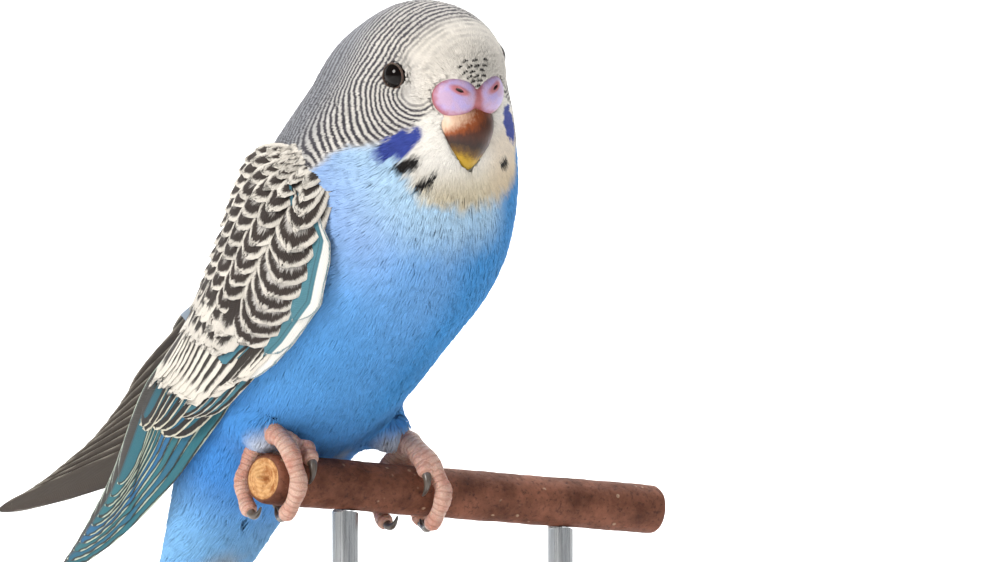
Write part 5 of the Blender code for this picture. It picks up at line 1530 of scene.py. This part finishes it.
def build_branch(look):
    """A cut length of a thin branch: bark with lenticels, and a sawn face."""
    rows, sides = 240, 96
    low, high = BRANCH_ENDS
    f = np.linspace(0, 1, rows)
    a = np.linspace(0, 2 * math.pi, sides, endpoint=False)
    slant = BRANCH_SLANT * np.sin(a) * np.maximum(0.0, 1 - f * 3)[:, None]
    along = low + (high - low) * f[:, None] + slant
    spot = np.stack(np.broadcast_arrays(along * 0.6, 3.2 * np.cos(a), 3.2 * np.sin(a)), -1)
    swell = 0.10 * wander(spot, 9.0) + 0.05 * wander(spot, 3.0, 1.3) + 0.03 * wander(spot, 1.3, 2.2)
    radius = BRANCH_RADIUS - 0.22 + swell
    edge = np.minimum(f * (high - low), (1 - f) * (high - low))
    radius = radius - (0.35 * np.exp(-edge / 0.35))[:, None]
    points = around_branch(along, np.degrees(a), radius).reshape(-1, 3)
    rings = 12
    ends = [around_branch(along[i], np.degrees(a), radius[i] * (1 - k / (rings + 0.0001)))
            for i in (0, rows - 1) for k in range(1, rings + 1)]
    points = np.concatenate([points] + ends)
    grid = np.arange(rows * sides).reshape(rows, sides)
    beside = np.roll(grid, -1, 1)
    faces = [np.stack([grid[:-1], grid[1:], beside[1:], beside[:-1]], -1).reshape(-1, 4)]
    for which, start in ((0, rows * sides), (rows - 1, rows * sides + rings * sides)):
        last = grid[which]
        for k in range(rings):
            row = start + k * sides + np.arange(sides)
            quad = np.stack([last, np.roll(last, -1), np.roll(row, -1), row], -1)
            faces.append(quad if which == 0 else quad[:, ::-1])
            last = row
    face = np.zeros(len(points))
    face[rows * sides:] = 1
    sawn = [np.full(sides, 1 - k / rings) for k in range(1, rings + 1)]
    out = np.concatenate([np.full(rows * sides, 1.0)] + sawn * 2)
    run = np.concatenate([along.ravel(), np.zeros(2 * rings * sides)])
    piece("perch_bark", points, np.concatenate(faces), look, ("perch",),
          {"face": face, "grain": np.stack([run, out, np.zeros(len(points))], -1)})


def cere_material():
    """Bare waxy skin of a young male: violet, flushed pink at its rim and round the nostrils.

    The flush is mottled over 1 to 2 mm. The folds are 0.7 mm apart and the pores 0.26 mm.
    """
    made, tree, shader = new_material("waxy_cere_skin", 0.38, Subsurface_Weight=0.08,
                                      Subsurface_Scale=0.0012, Specular_IOR_Level=0.45)
    rim = add(tree, "Attribute", attribute_name="rim", out=2)
    hole = add(tree, "Attribute", attribute_name="hole", out=2)
    place = add(tree, "TexCoord", out=3)
    blotch = add(tree, "TexNoise",
                 {"Vector": place, "Scale": 900.0, "Detail": 4.0, "Roughness": 0.65})
    soft = add(tree, "TexNoise", {"Vector": place, "Scale": 420.0, "Detail": 3.0})
    soft = add(tree, "MapRange", {0: soft, 1: 0.42, 2: 0.62})
    edge = add(tree, "Math", blotch, 0.5, rim, operation="MULTIPLY_ADD")
    edge = add(tree, "MapRange", {0: edge, 1: 0.95, 2: 1.45}, interpolation_type="SMOOTHSTEP")
    waxy = add(tree, "Mix", {0: soft, 6: rgba("bba9dc"), 7: rgba("c9abcb")}, out=2,
               data_type="RGBA")
    colour = add(tree, "Mix", {0: edge, 6: waxy, 7: rgba("b0656c")}, out=2, data_type="RGBA")
    near = add(tree, "MapRange", {0: hole, 1: 0.42, 2: 0.85, 3: 0.75, 4: 0.0},
               interpolation_type="SMOOTHSTEP")
    colour = add(tree, "Mix", {0: near, 6: colour, 7: rgba("c0604a")}, out=2, data_type="RGBA")
    # Painted shade: the walls of the drilled nostril slit are coloured near black
    deep = add(tree, "MapRange", {0: hole, 1: 0.20, 2: 0.32, 3: 1.0, 4: 0.0},
               interpolation_type="SMOOTHSTEP")
    colour = add(tree, "Mix", {0: deep, 6: colour, 7: rgba("3a1712")}, out=2, data_type="RGBA")
    pores = add(tree, "TexVoronoi", {"Vector": place, "Scale": 3800.0})
    folds = add(tree, "TexNoise", {"Vector": place, "Scale": 1500.0, "Detail": 4.0})
    height = add(tree, "Math", pores, 0.5, folds, operation="MULTIPLY_ADD")
    return dress(made, tree, shader, colour, height, 0.00012, 0.55)


def bill_material():
    """Horn laid down in fine layers: glossy, orange-brown at the root, dark, with a yellow tip.

    Its streaks are 0.6 mm across and 1.1 mm long. The pale cream above the orange-brown, at the
    very root, is a painted highlight.
    """
    made, tree, shader = new_material("layered_bill_horn", 0.34, Specular_IOR_Level=0.35,
                                      Subsurface_Weight=0.05, Subsurface_Scale=0.0006)
    down = add(tree, "Attribute", attribute_name="down", out=2)
    place = add(tree, "TexCoord", out=3)
    stretched = add(tree, "Mapping", {"Vector": place, "Scale": (1700.0, 1700.0, 900.0)})
    streaks = add(tree, "TexNoise",
                  {"Vector": stretched, "Scale": 1.0, "Detail": 5.0, "Roughness": 0.65})
    level = add(tree, "MapRange", {0: streaks, 1: 0.3, 2: 0.7, 3: -0.045, 4: 0.045})
    level = add(tree, "Math", down, level, operation="ADD")
    banded = add(tree, "ValToRGB", level)
    # The first two stops, pale cream at the root, are a painted highlight
    stops = ((0.0, "f0dccb"), (0.17, "e6c3a6"), (0.28, "9a5029"), (0.39, "553022"),
             (0.55, "38261f"), (0.65, "6a4c20"), (0.74, "b8922a"), (1.0, "cfac48"))
    band = banded.node.color_ramp
    while len(band.elements) < len(stops):
        band.elements.new(0.5)
    for stop, (position, code) in zip(band.elements, stops):
        stop.position = position
        stop.color = rgba(code)
    return dress(made, tree, shader, banded, streaks, 0.00008, 0.5)


def eye_material():
    """A young bird's eye: near-black iris and pupil, mottled over 0.8 mm, under a wet cornea."""
    made, tree, shader = new_material("wet_dark_eye", 0.05, IOR=1.376, Specular_IOR_Level=0.32)
    place = add(tree, "TexCoord", out=3)
    mottled = add(tree, "TexNoise", {"Vector": place, "Scale": 1200.0, "Detail": 3.0})
    colour = add(tree, "Mix", {0: mottled, 6: rgba("040303"), 7: rgba("120a07")}, out=2,
                 data_type="RGBA")
    tree.links.new(colour, shader.inputs["Base Color"])
    return made


def skin_material(name, pale, dark, flush, cell, roughness, scute=0.0):
    """Bare skin in small raised scales: pale on their crowns and dark or pink between them.

    A scale is cell millimetres wide. On the toes they join into broad cross plates, each scute
    millimetres long. The blood shows through in patches of 4 mm, and the grain is 0.24 mm.
    """
    made, tree, shader = new_material(name, roughness, Subsurface_Weight=0.18,
                                      Subsurface_Scale=0.0008, Specular_IOR_Level=0.4)
    place = add(tree, "TexCoord", out=3)
    warp = add(tree, "TexNoise", {"Vector": place, "Scale": 420.0, "Detail": 2.0}, out=1)
    spread = add(tree, "VectorMath", {0: warp, 3: 0.0009}, operation="SCALE")
    moved = add(tree, "VectorMath", place, spread, operation="ADD")
    cells = add(tree, "TexVoronoi", {"Vector": moved, "Scale": 1000.0 / cell},
                feature="DISTANCE_TO_EDGE")
    crown = add(tree, "MapRange", {0: cells, 1: 0.02, 2: 0.20}, interpolation_type="SMOOTHSTEP")
    if scute:
        run = add(tree, "Attribute", attribute_name="run", out=2)
        drift = add(tree, "TexNoise", {"Vector": place, "Scale": 500.0, "Detail": 2.0})
        run = add(tree, "Math", drift, 0.7, run, operation="MULTIPLY_ADD")
        plates = add(tree, "Math", run, 0.5 * scute, operation="PINGPONG")
        plates = add(tree, "MapRange", {0: plates, 1: 0.04, 2: 0.22},
                     interpolation_type="SMOOTHSTEP")
        soft = add(tree, "MapRange", {0: crown, 1: 0.0, 2: 1.0, 3: 0.62, 4: 1.0})
        crown = add(tree, "Math", plates, soft, operation="MULTIPLY")
    blotch = add(tree, "TexNoise",
                 {"Vector": place, "Scale": 260.0, "Detail": 4.0, "Roughness": 0.7})
    blotch = add(tree, "MapRange", {0: blotch, 1: 0.38, 2: 0.64})
    ground = add(tree, "Mix", {0: blotch, 6: rgba(pale), 7: rgba(flush)}, out=2, data_type="RGBA")
    seams = add(tree, "MapRange", {0: crown, 1: 0.0, 2: 1.0, 3: 0.5, 4: 0.0})
    colour = add(tree, "Mix", {0: seams, 6: ground, 7: rgba(dark)}, out=2, data_type="RGBA")
    fine = add(tree, "TexNoise", {"Vector": place, "Scale": 4200.0, "Detail": 3.0})
    height = add(tree, "Math", fine, 0.12, crown, operation="MULTIPLY_ADD")
    return dress(made, tree, shader, colour, height, 0.00016, 0.8)


def claw_material():
    """Thin curved horn, grown in layers: grey-brown, in streaks of 1.1 mm, darker to the point."""
    made, tree, shader = new_material("claw_horn_grown", 0.3, Coat_Weight=0.3,
                                      Coat_Roughness=0.2)
    run = add(tree, "Attribute", attribute_name="run", out=2)
    place = add(tree, "TexCoord", out=3)
    streaks = add(tree, "TexNoise",
                  {"Vector": place, "Scale": 900.0, "Detail": 4.0, "Distortion": 1.2})
    level = add(tree, "Math", streaks, 0.5, run, operation="MULTIPLY_ADD")
    share = add(tree, "MapRange", {0: level, 1: 0.25, 2: 1.15})
    colour = add(tree, "Mix", {0: share, 6: rgba("6f6257"), 7: rgba("3d352f")}, out=2,
                 data_type="RGBA")
    return dress(made, tree, shader, colour, streaks, 0.00006, 0.5)


def bark_material():
    """A thin red-brown fruitwood branch: smooth bark with pale lenticels, and sawn tan wood.

    The bark is patched over 7 mm, with a lenticel about every 2 mm where they gather and
    cracks 0.8 mm apart. The sawn faces show growth rings 0.9 mm wide and stains of 2.4 mm.
    """
    made, tree, shader = new_material("fruitwood_bark", 0.72, Specular_IOR_Level=0.3)
    face = add(tree, "Attribute", attribute_name="face", out=2)
    grain = add(tree, "Attribute", attribute_name="grain", out=1)
    out = add(tree, "SeparateXYZ", grain, out=1)
    place = add(tree, "TexCoord", out=3)
    patches = add(tree, "TexNoise",
                  {"Vector": place, "Scale": 150.0, "Detail": 6.0, "Roughness": 0.7})
    share = add(tree, "MapRange", {0: patches, 1: 0.35, 2: 0.65})
    bark = add(tree, "Mix", {0: share, 6: rgba("57301f"), 7: rgba("8e5a45")}, out=2,
               data_type="RGBA")
    flecks = add(tree, "TexVoronoi", {"Vector": place, "Scale": 480.0, "Randomness": 1.0})
    pores = add(tree, "MapRange", {0: flecks, 1: 0.10, 2: 0.22, 3: 0.8, 4: 0.0},
                interpolation_type="SMOOTHSTEP")
    rare = add(tree, "TexNoise", {"Vector": place, "Scale": 330.0, "Detail": 1.0})
    rare = add(tree, "MapRange", {0: rare, 1: 0.55, 2: 0.6})
    pores = add(tree, "Math", pores, rare, operation="MULTIPLY")
    bark = add(tree, "Mix", {0: pores, 6: bark, 7: rgba("b99a80")}, out=2, data_type="RGBA")
    fine = add(tree, "TexNoise",
               {"Vector": place, "Scale": 1300.0, "Detail": 5.0, "Roughness": 0.7})
    cracks = add(tree, "MapRange", {0: fine, 1: 0.36, 2: 0.46, 3: 0.6, 4: 0.0})
    bark = add(tree, "Mix", {0: cracks, 6: bark, 7: rgba("2c1a14")}, out=2, data_type="RGBA")
    wobble = add(tree, "TexNoise", {"Vector": place, "Scale": 300.0, "Detail": 3.0})
    rings = add(tree, "Math", wobble, 0.7, out, operation="MULTIPLY_ADD")
    rings = add(tree, "Math", rings, 30.0, operation="MULTIPLY")
    rings = add(tree, "Math", rings, operation="SINE")
    rings = add(tree, "MapRange", {0: rings, 1: -1.0, 2: 1.0})
    sawn = add(tree, "Mix", {0: rings, 6: rgba("cf9a62"), 7: rgba("dcae78")}, out=2,
               data_type="RGBA")
    stain = add(tree, "TexNoise",
                {"Vector": place, "Scale": 420.0, "Detail": 4.0, "Roughness": 0.7})
    stain = add(tree, "MapRange", {0: stain, 1: 0.46, 2: 0.62, 3: 0.0, 4: 0.85})
    sawn = add(tree, "Mix", {0: stain, 6: sawn, 7: rgba("9a5a2a")}, out=2, data_type="RGBA")
    border = add(tree, "MapRange", {0: out, 1: 0.86, 2: 0.93}, interpolation_type="SMOOTHSTEP")
    sawn = add(tree, "Mix", {0: border, 6: sawn, 7: rgba("6d4029")}, out=2, data_type="RGBA")
    colour = add(tree, "Mix", {0: face, 6: bark, 7: sawn}, out=2, data_type="RGBA")
    height = add(tree, "Math", fine, 0.6, patches, operation="MULTIPLY_ADD")
    return dress(made, tree, shader, colour, height, 0.0003, 0.7)


def walnut_material():
    """Walnut, planed, stained dark and wiped with a satin oil: brown figure in a soft gloss.

    The figure is 9 mm wide and 110 mm long. The pores are drawn 0.6 mm wide and 11 mm long,
    coarser than real ones, so that they show.
    """
    made, tree, shader = new_material("oiled_walnut", 0.38, Coat_Weight=0.2, Coat_Roughness=0.3)
    place = add(tree, "TexCoord", out=3)
    long = add(tree, "Mapping", {"Vector": place, "Scale": (9.0, 110.0, 110.0)})
    figure = add(tree, "TexNoise", {"Vector": long, "Scale": 1.0, "Detail": 6.0, "Distortion": 0.6})
    share = add(tree, "MapRange", {0: figure, 1: 0.32, 2: 0.68})
    wood = add(tree, "Mix", {0: share, 6: rgba("2b1a10"), 7: rgba("6b4429")}, out=2,
               data_type="RGBA")
    pores = add(tree, "Mapping", {"Vector": place, "Scale": (90.0, 1600.0, 1600.0)})
    pores = add(tree, "TexNoise", {"Vector": pores, "Scale": 1.0, "Detail": 2.0})
    open_pores = add(tree, "MapRange", {0: pores, 1: 0.60, 2: 0.68, 3: 0.0, 4: 0.7})
    wood = add(tree, "Mix", {0: open_pores, 6: wood, 7: rgba("1a0f09")}, out=2, data_type="RGBA")
    return dress(made, tree, shader, wood, pores, 0.00008, 0.25)


def steel_material():
    """Stainless rod, drawn and brushed along its length: fine bright lines.

    The grit's scratches are 0.05 mm wide, too fine to show, and are drawn at 0.25 mm.
    """
    made, tree, shader = new_material("brushed_steel", 0.3, Metallic=1.0)
    place = add(tree, "TexCoord", out=3)
    long = add(tree, "Mapping", {"Vector": place, "Scale": (4000.0, 4000.0, 90.0)})
    lines = add(tree, "TexNoise", {"Vector": long, "Scale": 1.0, "Detail": 3.0})
    rough = add(tree, "MapRange", {0: lines, 1: 0.3, 2: 0.7, 3: 0.22, 4: 0.40})
    tree.links.new(rough, shader.inputs["Roughness"])
    shade = add(tree, "MapRange", {0: lines, 1: 0.3, 2: 0.7})
    colour = add(tree, "Mix", {0: shade, 6: rgba("8f9295"), 7: rgba("b4b7b9")}, out=2,
                 data_type="RGBA")
    return dress(made, tree, shader, colour, lines, 0.00002, 0.3)


# The sweep: its foot, the bend that starts past the bird, its height and half its width
SWEEP_NEAR = -3.0
SWEEP_FAR = 1.2
SWEEP_BEND = 0.9
SWEEP_TOP = 4.0
SWEEP_HALF = 4.0

# The camera turns 30 degrees from the stand's front and looks down by 2. It stands this far
# right of, above and back from the bird's origin, in metres.
CAMERA_TURN = math.radians(30)
CAMERA_TILT = math.radians(2.0)
CAMERA_RIGHT = 0.02667
CAMERA_ABOVE = 0.03433
CAMERA_BACK = 0.750
LENS = 162.0
SENSOR = 36.0
NEAR_CLIP = 0.02

# Lamps: where they stand and what they point at, right of, past and above the bird as the
# camera sees it, in metres, then size, watts and colour. The key is the round softbox that
# shows in the eye.
BIRD_MIDDLE = (0.0, -0.01, 0.15)
LAMPS = (
    ("key", (-0.68, -0.62, 0.34), (0, 0, 0), 0.33, 6.2, "fffbf6"),
    ("top", (-0.15, -0.25, 1.1), (0, 0, 0), 0.8, 3.0, "ffffff"),
    ("fill", (0.9, -0.8, 0.15), (0, 0, 0), 0.9, 0.45, "f4f7ff"),
    ("backdrop", (0.0, 0.7, 1.5), (0, 1.9, 0.2), 1.6, 60.0, "ffffff"),
)
ROOM_LIGHT = 0.29

RIGHT = np.array([math.cos(CAMERA_TURN), -math.sin(CAMERA_TURN), 0])
AHEAD = np.array([0.5, math.sqrt(0.75), 0])
UP = np.array([0, 0, 1.0])


def paper_material():
    """White photographer's paper, uncoated: flat white, with a tooth drawn coarse at 17 mm."""
    made, tree, shader = new_material("white_paper", 0.9)
    place = add(tree, "TexCoord", out=3)
    tooth = add(tree, "TexNoise", {"Vector": place, "Scale": 60.0, "Detail": 4.0})
    white = add(tree, "Mix", {0: tooth, 6: rgba("f6f6f6"), 7: rgba("ffffff")}, out=2,
                data_type="RGBA")
    tree.links.new(white, shader.inputs["Base Color"])
    return made


def build_sweep():
    """White paper that runs under the stand and bends up behind it."""
    profile = [(SWEEP_NEAR, 0.0), (SWEEP_FAR, 0.0)]
    profile += [(SWEEP_FAR + SWEEP_BEND * math.sin(a), SWEEP_BEND - SWEEP_BEND * math.cos(a))
                for a in np.linspace(0.1, math.pi / 2, 16)]
    profile += [(SWEEP_FAR + SWEEP_BEND, SWEEP_TOP)]
    points = [tuple(RIGHT * wide + AHEAD * far + np.array([0, 0, high]))
              for far, high in profile for wide in (-SWEEP_HALF, SWEEP_HALF)]
    faces = [(2 * i, 2 * i + 1, 2 * i + 3, 2 * i + 2) for i in range(len(profile) - 1)]
    mesh = bpy.data.meshes.new("sweep")
    mesh.from_pydata(points, [], faces)
    mesh.shade_smooth()
    mesh.materials.append(paper_material())
    sweep = put("sweep", mesh)


def place_camera():
    """The photograph's view and framing."""
    view = AHEAD * math.cos(CAMERA_TILT) - UP * math.sin(CAMERA_TILT)
    above = AHEAD * math.sin(CAMERA_TILT) + UP * math.cos(CAMERA_TILT)
    origin = np.array(BIRD_ORIGIN) * MM
    spot = origin + CAMERA_RIGHT * RIGHT + CAMERA_ABOVE * above - CAMERA_BACK * view
    lens = bpy.data.cameras.new("camera")
    lens.lens = LENS
    lens.sensor_width = SENSOR
    lens.clip_start = NEAR_CLIP
    camera = put("camera", lens)
    camera.matrix_world = Matrix([*zip(RIGHT, above, -view, spot), (0, 0, 0, 1)])
    bpy.context.scene.camera = camera


def place_lamps():
    """Soft round lamps and an even white room."""
    bird = np.array(BIRD_MIDDLE)
    for name, place, aim, size, power, colour in LAMPS:
        light = bpy.data.lights.new(name, "AREA")
        light.shape = "DISK"
        light.size = size
        light.energy = power
        light.color = linear(colour)
        lamp = put(name, light)
        spot, target = (Vector(tuple(bird + RIGHT * a + AHEAD * b + UP * c))
                        for a, b, c in (place, aim))
        lamp.location = spot
        lamp.rotation_euler = (target - spot).to_track_quat("-Z", "Y").to_euler()
    world = bpy.data.worlds.new("studio")
    world.use_nodes = True
    world.node_tree.nodes["Background"].inputs[0].default_value = rgba("ffffff")
    world.node_tree.nodes["Background"].inputs[1].default_value = ROOM_LIGHT
    bpy.context.scene.world = world
    bpy.context.scene.view_settings.view_transform = "Standard"


def main():
    build_sweep()
    place_camera()
    place_lamps()
    plumage = barbs_material("contour_feathers", 0.82)
    looks = {
        "lesser": vane_material("scalloped_coverts", 0.75, "b8b4af", "362e2a", "d6d0c6",
                                ("8d8a84", "b9b5ac"), (0.45, 0.95), 2.25, taper=0.62, wobble=0.16,
                                hair=0.18, in_widths=False),
        "median": vane_material("oval_spotted_coverts", 0.75, "b2ada6", "332c28", "d9d3c9",
                                ("8d8a84", "b9b5ac"), (0.38, 0.62), 1.45, taper=0.5,
                                tip_share=0.55, wobble=0.09, hair=0.09),
        "great": vane_material("fringed_coverts", 0.75, "3d3733", "35302c", "dcd6cb",
                               ("7d7a74", "b9b5ac"), (0.30, 0.50), 9.0, tip_share=0.20,
                               hair=0.05),
        "secondary": vane_material("secondary_quills", 0.6, "34302c", "25211f", "d3cfbb",
                                   ("4e4a45", "a8a297"), (0.28, 0.42), 1.2, tip_share=0.6,
                                   in_widths=False, outer=("226070", "1b5a6b", "1f5f88")),
        "flight": vane_material("primary_quills", 0.58, "34302c", "27302f", "b9c6b4",
                                ("4a423b", "8d867b"), (0.20, 0.32), 0.5, wobble=0.04,
                                in_widths=False, outer=("2a7780", "17606f", "145f96")),
        "edge": vane_material("leading_edge_quills", 0.6, "2c2826", "241f1d", "d0ccbe",
                              ("6d6a66", "d8d5cf"), (0.16, 0.28), 0.6, in_widths=False,
                              outer=("3f7584", "356c7a", "3d7486")),
        "alula": vane_material("alula_quills", 0.6, "4a7f8d", "4a7f8d", "f3f1ea",
                               ("6d6a66", "d8d5cf"), (0.05, 0.2), 0.25, hair=0.05,
                               in_widths=False, outer=("f4f2ec", "f1efe9", "f4f2ec"),
                               web_at=(-0.34, -0.26), shaft="35535c"),
        "under": vane_material("wing_lining", 0.8, "9aa7b5", "9aa7b5", "9aa7b5",
                               ("7c7d80", "7c7d80"), (0.1, 0.2), 0.3),
        "tail": vane_material("tail_quills", 0.55, "1f3d86", "16244a", "31518f",
                              ("3c4048", "6b7078"), (0.15, 0.3), 0.8, wobble=0.04, in_widths=False,
                              outer=("24539c", "1f4a94", "2a5ba6")),
    }
    build_coat(*skin_again(build_skin(plumage).data), plumage)
    build_mantle(looks["lesser"])
    build_wings(looks)
    build_tail(looks["tail"])
    build_cere(cere_material())
    build_bill(bill_material())
    build_eyes(eye_material(), skin_material("beaded_lid_skin", "6b5a50", "35271f", "57473d",
                                             0.28, 0.55))
    build_feet(skin_material("scaly_foot_skin", "dcb8a6", "a4705f", "c98f7c", 0.5, 0.42,
                             scute=SCUTE), claw_material())
    build_branch(bark_material())
    wood, steel = walnut_material(), steel_material()
    for name, look in (("stand_base", wood), ("stand_rod_1", steel), ("stand_rod_2", steel)):
        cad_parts[name].data.materials.clear()
        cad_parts[name].data.materials.append(look)


main()
